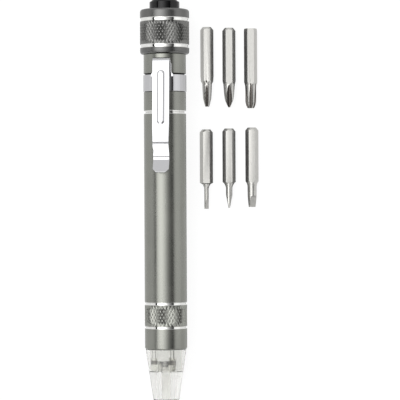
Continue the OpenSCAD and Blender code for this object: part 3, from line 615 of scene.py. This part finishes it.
class PEN_OT_barrels(bpy.types.Operator):
    """Front sleeve with its knurl, lower barrel and upper barrel"""

    bl_idname = "pen.barrels"
    bl_label = "Barrels"

    def execute(self, context):
        s = settings("barrel")
        skin = anodised_aluminium("anodised_barrel", s.skin, 0.24, 0.3)
        bare = turned_aluminium("turned_rings", s.bare)
        knurl = anodised_aluminium("anodised_knurl", s.knurl_skin_with_sheen, 0.2, 0.26, (BARREL_R, s.knurl_depth))
        # The clip's groove is painted dark, as painted shade for its gap
        groove = anodised_aluminium("dull_groove", s.groove, 0.5, 0.6)
        self.sleeve(s, [skin, bare, knurl])
        self.lower(s, [skin, bare])
        self.upper(s, settings("cap"), [skin, bare, groove])
        return {"FINISHED"}

    def sleeve(self, s, finishes):
        r, d, low = BARREL_R, s.ring_depth, SLEEVE_U
        ring_1 = low + s.sleeve_plain
        knurl_1 = ring_1 + s.sleeve_ring
        ring_2 = JOIN_U - s.sleeve_ring
        chamfer = 0.4 * MM
        # Bore round the nose, recess for the lower barrel's neck, and the ledge between them
        bore, recess, ledge = r - s.wall * 1.15, r - s.wall * 0.65, r - s.wall * 2.12
        ledge_u, recess_u = low + 5.1 * MM, JOIN_U - 7.45 * MM
        outline = soften([
            (bore, low), (r - chamfer, low, DEBURRED), (r, low + chamfer, DEBURRED),
            (r, ring_1, 0, BARE), (r - d, ring_1 + d, 0, BARE), (r - d, knurl_1 - d, 0, BARE),
            (r, knurl_1, 0, OPEN), (r, ring_2, 0, BARE), (r - d, ring_2 + d, 0, BARE),
            (r - d, JOIN_U - d / 2, 0, BARE), (r - d / 2, JOIN_U), (recess, JOIN_U),
            (recess, recess_u), (ledge, recess_u), (ledge, ledge_u), (bore, ledge_u)])
        piece = knurled("front_grip", outline, r, knurl_1, ring_2, finishes)
        dress(piece, "lower_body", "barrel_skin", "front_sleeve")

    def lower(self, s, finishes):
        r, bevel = BARREL_R, s.seam_bevel
        bore, neck = r - s.wall, r - s.wall * 0.7
        neck_bore = neck - s.wall * 1.1
        low, foot, step = height_of("lower_barrel", LOW), JOIN_U + FIT, JOIN_U + 0.6 * MM
        outline = soften([
            (neck_bore, low), (neck, low, EASED), (neck, foot, 0, BARE),
            (r - s.ring_depth / 2, foot, 0, BARE), (r, foot + s.ring_depth / 2, CRISP),
            (r, SEAM_U - bevel, BEVELLED, BARE), (r - bevel, SEAM_U, BEVELLED, BARE),
            (bore, SEAM_U, BEVELLED), (bore, step), (neck_bore, step)])
        piece = turned("lower_tube", outline, s.segments, finishes)
        dress(piece, "lower_body", "barrel_skin", "lower_barrel")

    def upper(self, s, cap, finishes):
        r, bevel, low = BARREL_R, s.seam_bevel, height_of("upper_barrel", LOW)
        spigot, neck = r - s.wall - FIT, cap.neck_radius
        foot, end, top, chamfer = SEAM_U + FIT, CAP_U - FIT, CAP_U + cap.neck, 0.25 * MM
        # Grooves for the split's seal, for the clip's band and for the cap's seal
        seal, seal_lo, seal_hi = spigot - 0.9 * MM, low + 0.92 * MM, low + 2.02 * MM
        clip, clip_lo = r - 0.5 * MM, height_of("clip_band", LOW) - 0.5 * MM
        clip_hi = height_of("clip_band", LOW) + 6.0 * MM
        cap_seal, cap_lo, cap_hi = neck - 0.52 * MM, CAP_U + 0.15 * MM, CAP_U + 0.77 * MM
        # Room for the cells, and the bore for the contact rod below its floor
        room, bore, floor = 6.15 * MM, 3.0 * MM, SEAM_U + 1.8 * MM
        outline = soften([
            (bore, low), (spigot, low, EASED), (spigot, seal_lo), (seal, seal_lo), (seal, seal_hi),
            (spigot, seal_hi), (spigot, foot, 0, BARE), (r - bevel, foot, BEVELLED, BARE),
            (r, SEAM_U + bevel + FIT, BEVELLED), (r, clip_lo, 0, SHADED_GROOVE), (clip, clip_lo, 0, SHADED_GROOVE),
            (clip, clip_hi, 0, SHADED_GROOVE), (r, clip_hi, CRISP), (r, end, DEBURRED), (neck, end),
            (neck, cap_lo), (cap_seal, cap_lo), (cap_seal, cap_hi), (neck, cap_hi),
            (neck, top - chamfer), (neck - chamfer, top), (room, top), (room, floor), (bore, floor)])
        piece = turned("upper_tube", outline, s.segments, finishes)
        dress(piece, "upper_body", "barrel_skin", "upper_barrel")


class PEN_OT_tail_cap(bpy.types.Operator):
    """Tail cap with its knurl, and the push button"""

    bl_idname = "pen.tail_cap"
    bl_label = "Tail cap"

    def execute(self, context):
        s, barrel = settings("cap"), settings("barrel")
        skin = anodised_aluminium("anodised_cap", s.skin, 0.27, 0.33)
        knurl = anodised_aluminium("anodised_cap_knurl", s.knurl_skin_with_sheen, 0.2, 0.26,
                                   (CAP_R, barrel.knurl_depth))
        bare = turned_aluminium("turned_cap_rings", barrel.bare)
        r, d, corner = CAP_R, barrel.ring_depth, s.corner
        ring_1 = CAP_U + s.flange
        knurl_1 = ring_1 + s.ring
        ring_2 = knurl_1 + s.knurl
        ring_end = ring_2 + s.ring
        # Bores for the button, its flange, the switch and the barrel's neck
        hole, flange, switch, neck = s.button_radius + FIT, 6.11 * MM, 6.35 * MM, s.neck_radius + FIT
        end, ledge_u = CAP_TOP_U - s.top_drop, CAP_TOP_U - s.top
        switch_u, neck_u = CAP_TOP_U - 6.07 * MM, CAP_U + s.neck + 0.4 * MM
        outline = soften([
            (neck, CAP_U, BEVELLED), (r, CAP_U, corner), (r, ring_1, 0, BARE),
            (r - d, ring_1 + d, 0, BARE), (r - d, knurl_1 - d, 0, BARE), (r, knurl_1, 0, OPEN),
            (r, ring_2, 0, BARE), (r - d, ring_2 + d, 0, BARE), (r - d, ring_end - d, 0, BARE),
            (r, ring_end), (r, end, corner), (hole, end, EASED), (hole, ledge_u), (flange, ledge_u),
            (flange, switch_u), (switch, switch_u), (switch, neck_u), (neck, neck_u)], 6)
        piece = knurled("tail_cap_shell", outline, r, knurl_1, ring_2, [skin, bare, knurl])
        dress(piece, "tail_cap", "cap_skin", "tail_cap")
        self.button(s)
        return {"FINISHED"}

    def button(self, s):
        black = moulded_plastic("glossy_black_button", s.button, 0.08, 0.13, 0.4, 0.001, ior=1.38)
        low, side = height_of("button", LOW), PEN_TOP_U - s.dome
        flange, flange_u = radius_of("button"), low + 1.2 * MM
        outline = soften([(0, low), (flange, low, EASED), (flange, flange_u), (s.button_radius, flange_u),
                          (s.button_radius, side, s.button_round)], 8)
        foot = s.button_radius - s.button_round
        steps = 14
        for k in range(steps + 1):
            angle = math.pi / 2 * k / steps
            outline.append((foot * math.cos(angle) if k < steps else 0, side + s.dome * math.sin(angle)))
        piece = turned("button_cap", outline, 96, [black], closed=False)
        dress(piece, "button", "button_plastic", "button")


class PEN_OT_nose(bpy.types.Operator):
    """Clear nose with its hexagon socket, lamps, magnet and board"""

    bl_idname = "pen.nose"
    bl_label = "Nose"

    def execute(self, context):
        s = settings("nose")
        clear = clear_plastic("hazy_acrylic", s.clear, 0.01, 0.04, 0.07)
        shoulder, top = SLEEVE_U - FIT, height_of("nose_cone", HIGH)
        magnet, mouth, mouth_u = s.magnet / 2, 0.2 * MM, 0.25 * MM

        def hexagon(angle):
            sixth = math.pi / 3
            return s.socket / 2 / math.cos(angle % sixth - sixth / 2)

        outline = soften([
            (s.tip_radius, 0, s.tip_round), (s.base_radius, shoulder, 0.15 * MM),
            (s.spigot_radius, shoulder), (s.spigot_radius, top, EASED), (s.room_radius, top, EASED),
            (s.room_radius, s.room_height, 0.4 * MM), (s.core_radius, s.room_height, 0.3 * MM),
            (s.core_radius, s.core_height, EASED), (magnet, s.core_height), (magnet, s.socket_depth)], 6)
        outline += [(hexagon, s.socket_depth), (hexagon, mouth_u), (lambda a: hexagon(a) + mouth, 0)]
        dress(turned("clear_nose", outline, 144, [clear]), "lower_body", "clear_nose", "nose_cone")
        resin = clear_plastic("clear_lamp_resin", s.resin, 0.04, 0.1, 0.0)
        metal = drawn_metal("lamp_frames", s.lamp_metal, 0.25, 0.4)
        for number in (1, 2, 3):
            self.lamp(number, resin, metal)
        paint_nodes(drawn_metal("nickel_magnet", s.nickel, 0.15, 0.3), "socket_magnet")
        paint_nodes(lacquered_board("white_board", s.lacquer), "led_board")
        return {"FINISHED"}

    def lamp(self, number, resin, metal):
        """A lamp: its domed lens with a rim, and the two posts in it on their wires."""
        node = "led_%d" % number
        low, high = height_of(node, LOW), height_of(node, HIGH)
        centre = (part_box(node)[LOW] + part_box(node)[HIGH]) / 2
        r, end, rim, steps = 1.25 * MM, low + 4.8 * MM, 0.1 * MM, 8
        rim_u = end - 0.6 * MM
        angles = [math.pi / 2 * k / steps for k in range(steps + 1)]
        outline = [(r * math.sin(a), low + r * (1 - math.cos(a))) for a in angles]
        outline += [(r, rim_u), (r + rim, rim_u), (r + rim, end), (0, end)]
        lens = turned("lamp_lens_%d" % number, outline, 32, [resin], closed=False,
                      place=placing(centre.x, TIP_Y, centre.z))
        wire, apart, thick = 0.09 * MM, 0.5 * MM, 0.4 * MM
        wire_u, post_u, post_end = low + 3.4 * MM, low + 2.5 * MM, low + 3.9 * MM
        bm = bmesh.new()
        for offset, post in ((-apart, 0.62 * MM), (apart, 0.4 * MM)):
            for start, stop, half_width in ((wire_u, high, wire), (post_u, post_end, post)):
                box = bmesh.ops.create_cube(bm, size=1.0)["verts"]
                shape = Matrix.Diagonal((2 * half_width, stop - start, thick, 1.0))
                move = Matrix.Translation((centre.x + offset, TIP_Y + (start + stop) / 2, centre.z))
                bmesh.ops.transform(bm, matrix=move @ shape, verts=box)
        leads = finish_mesh("lamp_leads_%d" % number, bm, [metal])
        dress(lens, "lower_body", "lamp", node)
        dress(leads, "lower_body", "spring_steel")


# Steps along the clip's tab, fold, arm, crease, slope and lip
TAB, FOLD, ARM, CREASE, SLOPE, LIP = 16, 20, 120, 4, 16, 20


class PEN_OT_clip(bpy.types.Operator):
    """Pocket clip: band, tab, fold and arm as one sheet that bends at the fold"""

    bl_idname = "pen.clip"
    bl_label = "Clip"

    def execute(self, context):
        s = settings("clip")
        steel = polished_steel_sheet("polished_clip", s.steel)
        strip = self.strip(s, steel)
        combine(strip, self.band(s, steel), "UNION", "EXACT")
        round_edges(strip, s.edge, segments=3, over_degrees=50, smooth_degrees=35)
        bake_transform(strip)
        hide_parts("clip_band", "clip_arm")
        return {"FINISHED"}

    def band_top(self, s):
        """Height of the band's upper edge."""
        return height_of("clip_band", LOW) - s.band_drop + s.band

    def path(self, s):
        """Middle line of the sheet as (height, radius) points, from the band up, round the fold and down."""
        half = s.sheet / 2
        top, end = height_of("clip_band", HIGH), height_of("clip_arm", LOW)
        length = top - end
        tab_r, arm_r = BARREL_R + FIT, BARREL_R + s.gap + s.sheet
        turn_r = (arm_r - tab_r) / 2
        fold_u, fold_r = top - turn_r, tab_r + turn_r
        start = self.band_top(s) - 0.8 * MM
        points = [(start + (fold_u - start) * k / TAB, tab_r + half) for k in range(TAB)]
        mid_r = turn_r - half
        angles = [math.pi * k / FOLD for k in range(FOLD + 1)]
        points += [(fold_u + mid_r * math.sin(a), fold_r - mid_r * math.cos(a)) for a in angles]
        # The arm falls a little to its bend, slopes down to the dip and rises again to the lip's end
        bend, dip = end + length * 0.268, end + length * 0.125
        bend_r, dip_r = arm_r - s.sheet * 0.6, BARREL_R + s.sheet + 0.1 * MM
        lip_r = dip_r + s.gap * 0.72
        for k in range(1, ARM + 1):
            u = fold_u + (bend - fold_u) * k / ARM
            points.append((u, bend_r + (arm_r - bend_r) * (u - bend) / (fold_u - bend) - half))
        for k in range(1, CREASE + 1):
            points.append((bend - s.crease * k / CREASE, bend_r - s.crease_drop * k / CREASE - half))
        knee, knee_r = bend - s.crease, bend_r - s.crease_drop
        heel, heel_r = dip + s.heel, dip_r + s.crease_drop / 2
        for k in range(1, SLOPE + 1):
            u = knee + (heel - knee) * k / SLOPE
            share = (1 - math.cos(math.pi * (u - heel) / (knee - heel))) / 2
            points.append((u, heel_r + (knee_r - heel_r) * share - half))
        points.append((heel - s.crease / 2, dip_r - half))
        points.append((dip, dip_r - half))
        curved = 0.9 * MM
        slope = (lip_r - dip_r) / (dip - end - curved / 2)
        for k in range(1, LIP + 1):
            away = (dip - end) * k / LIP
            rise = away ** 2 / (2 * curved) if away < curved else away - curved / 2
            points.append((dip - away, dip_r + slope * rise - half))
        return points

    def strip(self, s, steel):
        """Tab, fold and arm, with the bead pressed into the arm."""
        points = self.path(s)
        fold_end = TAB + FOLD
        fold_u, end, tab_u = points[fold_end][0], points[-1][0], self.band_top(s)
        half_bead, bead_top = s.bead_width / 2, fold_u - s.gap * 0.9
        bead_end = bead_top - s.bead_length
        across, rim = 64, 0.3 * MM
        # Toward its end the arm narrows by a share over a length, and its corners are cut
        narrowing, narrowing_length, corner = 0.05, 5.0 * MM, 1.1 * MM
        # The tab meets the band in a fillet
        fillet_height, fillet_width = 0.9 * MM, 0.7 * MM
        lean = Matrix.Rotation(s.roll, 3, "Y")
        bm = bmesh.new()
        grid = []
        for i, (u, r) in enumerate(points):
            on_arm = i > fold_end
            half_w, sidestep = s.width / 2, 0.0
            if on_arm:
                sidestep = s.skew * max(0.0, (fold_u - u) / (fold_u - end))
                half_w *= 1 - narrowing * min(1.0, max(0.0, (bead_end - u) / narrowing_length))
                half_w -= max(0.0, corner - (u - end))
            if i < TAB:
                fillet = min(1.0, max(0.0, (u - tab_u) / fillet_height))
                half_w += s.tab_extra + fillet_width * (1 - fillet) ** 2
            inner = [(half_w - rim) * (2 * k / (across - 2) - 1) for k in range(across - 1)]
            row = []
            for x in (-half_w, *inner, half_w):
                lift = 0.0
                if on_arm:
                    nearest = min(max(u, bead_end + half_bead), bead_top - half_bead)
                    flank = (half_bead - math.hypot(x, u - nearest)) / s.bead_flank
                    lift = s.bead_height * min(1.0, max(0.0, flank))
                p = lean @ Vector((x, 0, r + lift)) - Vector((sidestep, 0, 0))
                row.append(bm.verts.new((AXIS_X + p.x, TIP_Y + u, AXIS_Z + p.z)))
            grid.append(row)
        for a, b in zip(grid, grid[1:]):
            for k in range(across):
                bm.faces.new((a[k], b[k], b[k + 1], a[k + 1]))
        piece = finish_mesh("pocket_clip", bm, [steel])
        thick = piece.modifiers.new("sheet", "SOLIDIFY")
        thick.thickness = s.sheet
        thick.offset = 0.0
        thick.use_even_offset = True
        return baked(piece)

    def band(self, s, steel):
        """Band round the barrel, half sunk in its groove, with a split at the underside."""
        high = self.band_top(s)
        low = high - s.band
        inner, outer = BARREL_R - 0.225 * MM, BARREL_R + 0.195 * MM
        steps, half_split = 140, math.radians(2.3)
        start, run = -math.pi / 2 - s.roll + half_split, 2 * math.pi - 2 * half_split
        section = (inner, low), (outer, low), (outer, high), (inner, high)
        bm = bmesh.new()
        tube(bm, [[on_pen(r, start + run * k / steps, u) for r, u in section] for k in range(steps + 1)])
        return finish_mesh("clip_ring_part", bm, [steel])


class PEN_OT_inside(bpy.types.Operator):
    """Springs, rack, rod, cells, switch and seals inside the pen"""

    bl_idname = "pen.inside"
    bl_label = "Inside"

    def execute(self, context):
        s = settings("inside")
        wire = drawn_metal("spring_wire", s.wire, 0.2, 0.35)
        can = drawn_metal("plated_cell_can", s.can, 0.15, 0.3)
        brass = drawn_metal("bare_brass", s.brass, 0.2, 0.4)
        rack = moulded_plastic("black_rack_plastic", s.rack, 0.4, 0.55, 0.3, 0.004)
        white = moulded_plastic("white_plunger_plastic", s.plunger, 0.35, 0.5, 0.3, 0.003)
        rubber = moulded_plastic("black_seal_rubber", s.rubber, 0.6, 0.75, 0.2, 0.004)
        paint_nodes(clear_plastic("thin_clear_tube", s.tube, 0.1, 0.2, 0.2), "battery_tube")
        paint_nodes(rack, "bit_rack", "switch_body")
        paint_nodes(can, "battery_cell_1", "battery_cell_2", "battery_cell_3")
        paint_nodes(brass, "contact_rod", "contact_plate")
        paint_nodes(rubber, "seam_seal", "neck_seal")
        paint_nodes(white, "switch_plunger")
        self.spring("contact_coil", "front_spring", "lower_body", 5, 0.48 * MM, wire)
        self.spring("battery_coil", "battery_spring", "switch_module", 5, 0.54 * MM, wire)
        coil = self.spring("button_coil", "button_spring", "switch_module", 3, 0.4 * MM, wire)
        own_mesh(coil)
        return {"FINISHED"}

    def spring(self, name, node, body, curls, thick, material):
        """Coil of round wire, as long and as wide as its node."""
        r = radius_of(node) - thick / 2
        low, high = height_of(node, LOW) + thick / 2, height_of(node, HIGH) - thick / 2
        steps, sides = curls * 28, 12
        slope = math.atan((high - low) / (curls * 2 * math.pi * r))
        rings = []
        for k in range(steps + 1):
            angle = 2 * math.pi * curls * k / steps
            centre = on_pen(r, angle, low + (high - low) * k / steps)
            out = Vector((math.cos(angle), 0, math.sin(angle)))
            along = Vector((-math.sin(angle) * math.cos(slope), math.sin(slope),
                            math.cos(angle) * math.cos(slope)))
            up = along.cross(out)
            rings.append([centre + thick / 2 * (math.cos(a) * out + math.sin(a) * up)
                          for a in (2 * math.pi * q / sides for q in range(sides))])
        bm = bmesh.new()
        tube(bm, rings)
        piece = finish_mesh(name, bm, [material], smooth_degrees=40.0)
        return dress(piece, body, "spring_steel", node)


# Outline as shares of the flats and of the point's length, with flutes (count, cutter, core, run, turn) or
# a blade (edge, run, turn), and the bevel at the shank's end as a share of its corners. Turns are in degrees
BITS = {
    "cross_bit_small": {"outline": ((0.2, 0), (0.27, 0.115), (0.375, 0.315), (0.41, 0.6), (0.42, 0.87)),
                        "flutes": (4, 0.125, 0.07, 1.0, -5.0), "bevel": 0.64},
    "cross_bit_large": {"outline": ((0.1, 0), (0.265, 0.11), (0.39, 0.22), (0.45, 0.32), (0.49, 0.5),
                                    (0.5, 0.88)),
                        "flutes": (4, 0.29, 0.085, 0.84, 0.0), "bevel": 0.64},
    "star_bit": {"outline": ((0.29, 0), (0.41, 0.115), (0.47, 0.23), (0.48, 0.75), (0.5, 0.88)),
                 "flutes": (6, 0.15, 0.225, 0.95, 30.0), "bevel": 0.95},
    "slot_bit_small": {"outline": ((0.195, 0), (0.195, 0.77), (0.225, 0.84), (0.265, 0.88), (0.36, 0.95)),
                       "blade": (0.1, 0.8, 120.0), "bevel": 0.64},
    "slot_bit_medium": {"outline": ((0.27, 0), (0.28, 0.78), (0.34, 0.86), (0.44, 0.94)),
                        "blade": (0.07, 0.6, 5.0), "bevel": 0.64},
    "slot_bit_large": {"outline": ((0.31, 0), (0.39, 0.42), (0.4, 0.78), (0.43, 0.88)),
                       "blade": (0.16, 0.51, 122.0), "bevel": 0.64},
}
PLATED, GROUND_AND_SHADE = 0, 1


class PEN_OT_bits(bpy.types.Operator):
    """Six loose bits on hexagon shanks, each ground to its own point"""

    bl_idname = "pen.bits"
    bl_label = "Bits"

    def execute(self, context):
        s = settings("bit")
        self.finishes = [plated_tool_steel("plated_bit_steel", s.steel, 0.3, 0.38),
                         plated_tool_steel("ground_bit_points", s.ground, 0.18, 0.26)]
        for name, form in BITS.items():
            self.bit(name, form, s)
        return {"FINISHED"}

    def bit(self, name, form, s):
        lo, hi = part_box(name)
        axis = Vector(((lo.x + hi.x) / 2, lo.y, lo.z + s.flats / 2))
        length = hi.y - lo.y
        point = length - s.shank
        corner, bevel_u = s.flats / 2 / math.cos(math.pi / 6), length - s.flats * 0.28
        at_bit = placing(*axis)
        outline = [(0, 0)] + [(a * s.flats, b * point) for a, b in form["outline"]]
        outline += [(corner + s.edge, point), (corner + s.edge, bevel_u), (corner * form["bevel"], length),
                    (0, length)]
        piece = turned(name + "_steel", outline, 96, self.finishes, closed=False, place=at_bit)
        bm = bmesh.new()
        lathe(bm, [(0, -MM), (corner, -MM), (corner, length + MM), (0, length + MM)], 6, closed=False,
              place=at_bit)
        self.cut(piece, bm, "INTERSECT", PLATED)
        if "flutes" in form:
            self.flutes(piece, form["flutes"], s, axis, point)
        else:
            self.blade(piece, form["blade"], s, axis, point, length)
        round_edges(piece, s.edge, segments=2, over_degrees=32, smooth_degrees=14)
        # In the photo the bits don't show in the barrel's shine, so they stay out of it here
        piece.visible_glossy = False
        dress(piece, name, "bit_steel", name)

    def flutes(self, piece, form, s, axis, point):
        """Grooves that a round cutter leaves, rising from the core to the flats."""
        count, cutter, core, run, first = form
        cutter, core, run = cutter * s.flats, core * s.flats, run * point
        tilt = math.atan((s.flats / 2 - core) / run)
        lay = Matrix.Translation(axis) @ Matrix.Rotation(-math.pi / 2, 4, "X")
        lean = Matrix.Translation((core + cutter, 0, 0)) @ Matrix.Rotation(tilt, 4, "Y")
        middle = Matrix.Translation((0, 0, run / 2))
        for i in range(count):
            spin = Matrix.Rotation(math.radians(first) + 2 * math.pi * i / count, 4, "Z")
            bm = bmesh.new()
            bmesh.ops.create_cone(bm, cap_ends=True, segments=48, radius1=cutter, radius2=cutter,
                                  depth=run + 2 * s.flats)
            bmesh.ops.transform(bm, matrix=lay @ spin @ lean @ middle, verts=bm.verts)
            # The flutes' faces take the darker steel, which is partly painted shade
            self.cut(piece, bm, "DIFFERENCE", GROUND_AND_SHADE)

    def blade(self, piece, form, s, axis, point, length):
        """Flat tapered blade, cut by a block with the blade's outline from the side."""
        edge, run, degrees = form
        edge, run, far = edge * s.flats / 2, run * point, s.flats
        root, root_u = s.flats * 0.26, run * 0.8
        side = [(edge, -MM), (edge, 0), (root, root_u), (far, run), (far, length + MM)]
        loop = side + [(-x, u) for x, u in reversed(side)]
        spin = Matrix.Rotation(math.radians(degrees), 3, "Z")
        ends = []
        for y in (-far, far):
            corners = [(spin @ Vector((x, y, 0)), u) for x, u in loop]
            ends.append([axis + Vector((p.x, u, -p.y)) for p, u in corners])
        bm = bmesh.new()
        tube(bm, ends)
        self.cut(piece, bm, "INTERSECT", PLATED)

    def cut(self, piece, bm, operation, finish):
        """Cuts the piece with a tool, whose faces leave the given finish on it."""
        for face in bm.faces:
            face.material_index = finish
        combine(piece, finish_mesh("tool", bm, self.finishes), operation, "MANIFOLD")


class PEN_OT_stage(bpy.types.Operator):
    """Pale floor, studio sky and camera"""

    bl_idname = "pen.stage"
    bl_label = "Stage"

    def execute(self, context):
        s = settings("stage")
        self.floor(s)
        self.sky()
        self.camera(s)
        context.scene.view_settings.view_transform = "Standard"
        return {"FINISHED"}

    def floor(self, s):
        """Paper floor that keeps the shadow. It also glows, to white for the camera and less in
        reflections."""
        material, tree = empty_material("pale_floor")
        ray = add_node(tree, "ShaderNodeLightPath")
        tone = add_node(tree, "ShaderNodeMix", data_type="RGBA", links={0: noise(tree, (30.0, 30.0, 30.0))},
                        inputs={6: shade(s.floor, 0.9), 7: shade(s.floor, 0.93)})
        plain = add_node(tree, "ShaderNodeBsdfDiffuse", links={"Color": tone.outputs[2]})
        glowing = []
        for level, glow in ((0.14, {"inputs": {"Strength": 0.9}}),
                            (0.15, {"links": {"Strength": self.shade_patch(tree, ray)}})):
            paper = add_node(tree, "ShaderNodeBsdfDiffuse", inputs={"Color": grey(level)})
            light = add_node(tree, "ShaderNodeEmission", **glow)
            glowing.append(add_node(tree, "ShaderNodeAddShader",
                                    links={0: paper.outputs[0], 1: light.outputs[0]}))
        seen, mirrored = glowing
        straight = add_node(tree, "ShaderNodeMath", operation="MAXIMUM",
                            links={0: ray.outputs["Is Camera Ray"], 1: ray.outputs["Is Transmission Ray"]})
        unseen = add_node(tree, "ShaderNodeMixShader",
                          links={0: ray.outputs["Is Glossy Ray"], 1: plain.outputs[0],
                                 2: mirrored.outputs[0]})
        either = add_node(tree, "ShaderNodeMixShader",
                          links={0: straight.outputs[0], 1: unseen.outputs[0], 2: seen.outputs[0]})
        add_node(tree, "ShaderNodeOutputMaterial", links={"Surface": either.outputs[0]})
        bm = bmesh.new()
        bmesh.ops.create_grid(bm, x_segments=4, y_segments=4, size=2.0)
        finish_mesh("floor", bm, [material])

    def shade_patch(self, tree, ray):
        """The floor's glow in reflections, put out in a patch between the bits, as painted shade. Only what lies
        close to the patch mirrors it, so it paints the bits' inner flats darker."""
        glow, reach, margin = 0.72, 12 * MM, 3 * MM
        ends = [(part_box(name)[LOW].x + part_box(name)[HIGH].x) / 2 for name in ("cross_bit_small", "star_bit")]
        place = add_node(tree, "ShaderNodeTexCoord")
        parts = add_node(tree, "ShaderNodeSeparateXYZ", links={"Vector": place.outputs["Object"]})
        within = add_node(tree, "ShaderNodeMath", operation="COMPARE", links={0: parts.outputs["X"]},
                          inputs={1: sum(ends) / 2, 2: abs(ends[1] - ends[0]) / 2 + margin})
        close = add_node(tree, "ShaderNodeMath", operation="LESS_THAN", inputs={1: reach},
                         links={0: ray.outputs["Ray Length"]})
        both = add_node(tree, "ShaderNodeMath", operation="MULTIPLY",
                        links={0: within.outputs[0], 1: close.outputs[0]})
        return add_node(tree, "ShaderNodeMath", operation="MULTIPLY_ADD", inputs={1: -glow, 2: glow},
                        links={0: both.outputs[0]}).outputs[0]

    def sky(self):
        """White studio with a softbox left of the camera and a dark panel right of it.
        Angles are counted from straight up, across the pen, and are negative to the left.
        Toward the cap the sky is plain white, and toward the nose a dark slit crosses it."""
        world = bpy.data.worlds.new("studio")
        bpy.context.scene.world = world
        world.use_nodes = True
        tree = world.node_tree
        tree.nodes.clear()
        place = add_node(tree, "ShaderNodeTexCoord")
        parts = add_node(tree, "ShaderNodeSeparateXYZ", links={"Vector": place.outputs["Generated"]})
        angle = add_node(tree, "ShaderNodeMath", operation="ARCTAN2",
                         links={0: parts.outputs["X"], 1: parts.outputs["Z"]})
        across = add_node(tree, "ShaderNodeMath", operation="MULTIPLY_ADD",
                          inputs={1: 1 / (2 * math.pi), 2: 0.5}, links={0: angle.outputs[0]})
        along = add_node(tree, "ShaderNodeMath", operation="MULTIPLY_ADD", inputs={1: 0.5, 2: 0.5},
                         links={0: parts.outputs["Y"]})
        white, dark, slit = 0.35, 0.01, 0.12
        panels = [(-180, white), (-80, white), (-64, white * 0.85), (-61, white * 0.8), (-60, dark),
                  (-50.5, dark), (-49.5, 0.58), (-35, 0.9), (-22, 1.0), (-14, 0.86), (-8, 0.74), (2, 0.5),
                  (14, 0.22), (26, 0.1), (38, 0.03), (44, dark), (46.5, dark), (48, white),
                  (62, white * 1.25), (90, white * 1.1), (180, white)]
        slits = [(0.0, 1.0), (0.3, 1.0), (0.315, slit), (0.365, slit), (0.38, 1.0), (1.0, 1.0)]
        ramps = []
        for source, stops in ((across, [(degrees / 360 + 0.5, level) for degrees, level in panels]),
                              (along, slits)):
            ramp = add_node(tree, "ShaderNodeValToRGB", links={"Fac": source.outputs[0]})
            elements = ramp.color_ramp.elements
            elements.remove(elements[-1])
            for k, (position, level) in enumerate(stops):
                element = elements[0] if k == 0 else elements.new(position)
                element.position = position
                element.color = grey(level)
            ramps.append(ramp.outputs["Color"])
        studio = add_node(tree, "ShaderNodeMix", data_type="RGBA", blend_type="MULTIPLY", inputs={0: 1.0},
                          links={6: ramps[0], 7: ramps[1]})
        cap_side = add_node(tree, "ShaderNodeMapRange", inputs={"From Min": 0.6, "From Max": 0.66},
                            links={"Value": parts.outputs["Y"]})
        level = add_node(tree, "ShaderNodeMix", data_type="RGBA", inputs={7: grey(white)},
                         links={0: cap_side.outputs[0], 6: studio.outputs[2]})
        light = add_node(tree, "ShaderNodeBackground", inputs={"Strength": 2.7},
                         links={"Color": level.outputs[2]})
        seen = add_node(tree, "ShaderNodeBackground", inputs={"Strength": 1.0, "Color": grey(1.0)})
        ray = add_node(tree, "ShaderNodeLightPath")
        either = add_node(tree, "ShaderNodeMixShader",
                          links={0: ray.outputs["Is Camera Ray"], 1: light.outputs[0], 2: seen.outputs[0]})
        add_node(tree, "ShaderNodeOutputWorld", links={"Surface": either.outputs[0]})

    def camera(self, s):
        """Camera that looks straight down, with its lens set by the width of the view at the bits."""
        data = bpy.data.cameras.new("camera")
        camera = bpy.data.objects.new("camera", data)
        bpy.context.scene.collection.objects.link(camera)
        data.sensor_width = 36.0
        data.lens = data.sensor_width * (s.distance - s.bits_height) / s.width
        data.clip_start, data.clip_end = 0.01, 10.0
        camera.location = (s.shift_x, s.shift_y, s.distance)
        camera.rotation_euler = (0, 0, s.roll)
        bpy.context.scene.camera = camera


class PEN_PT_panel(bpy.types.Panel):
    """Buttons that build each group of pieces"""

    bl_label = "Pocket screwdriver"
    bl_space_type = "VIEW_3D"
    bl_region_type = "UI"
    bl_category = "Screwdriver"

    def draw(self, context):
        for operator in OPERATORS:
            self.layout.operator(operator.bl_idname)


GROUPS = {"barrel": BarrelSettings, "cap": CapSettings, "nose": NoseSettings, "clip": ClipSettings,
          "inside": InsideSettings, "bit": BitSettings, "stage": StageSettings}
OPERATORS = (PEN_OT_barrels, PEN_OT_tail_cap, PEN_OT_nose, PEN_OT_clip, PEN_OT_inside, PEN_OT_bits,
             PEN_OT_stage)


def register():
    for cls in (*GROUPS.values(), *OPERATORS, PEN_PT_panel):
        bpy.utils.register_class(cls)
    for name, group in GROUPS.items():
        setattr(bpy.types.Scene, "pen_" + name, PointerProperty(type=group))


def unregister():
    for name in GROUPS:
        delattr(bpy.types.Scene, "pen_" + name)
    for cls in reversed((*GROUPS.values(), *OPERATORS, PEN_PT_panel)):
        bpy.utils.unregister_class(cls)


def main():
    register()
    bpy.ops.pen.barrels()
    bpy.ops.pen.tail_cap()
    bpy.ops.pen.nose()
    bpy.ops.pen.clip()
    bpy.ops.pen.inside()
    bpy.ops.pen.bits()
    bpy.ops.pen.stage()


if __name__ == "__main__":
    main()
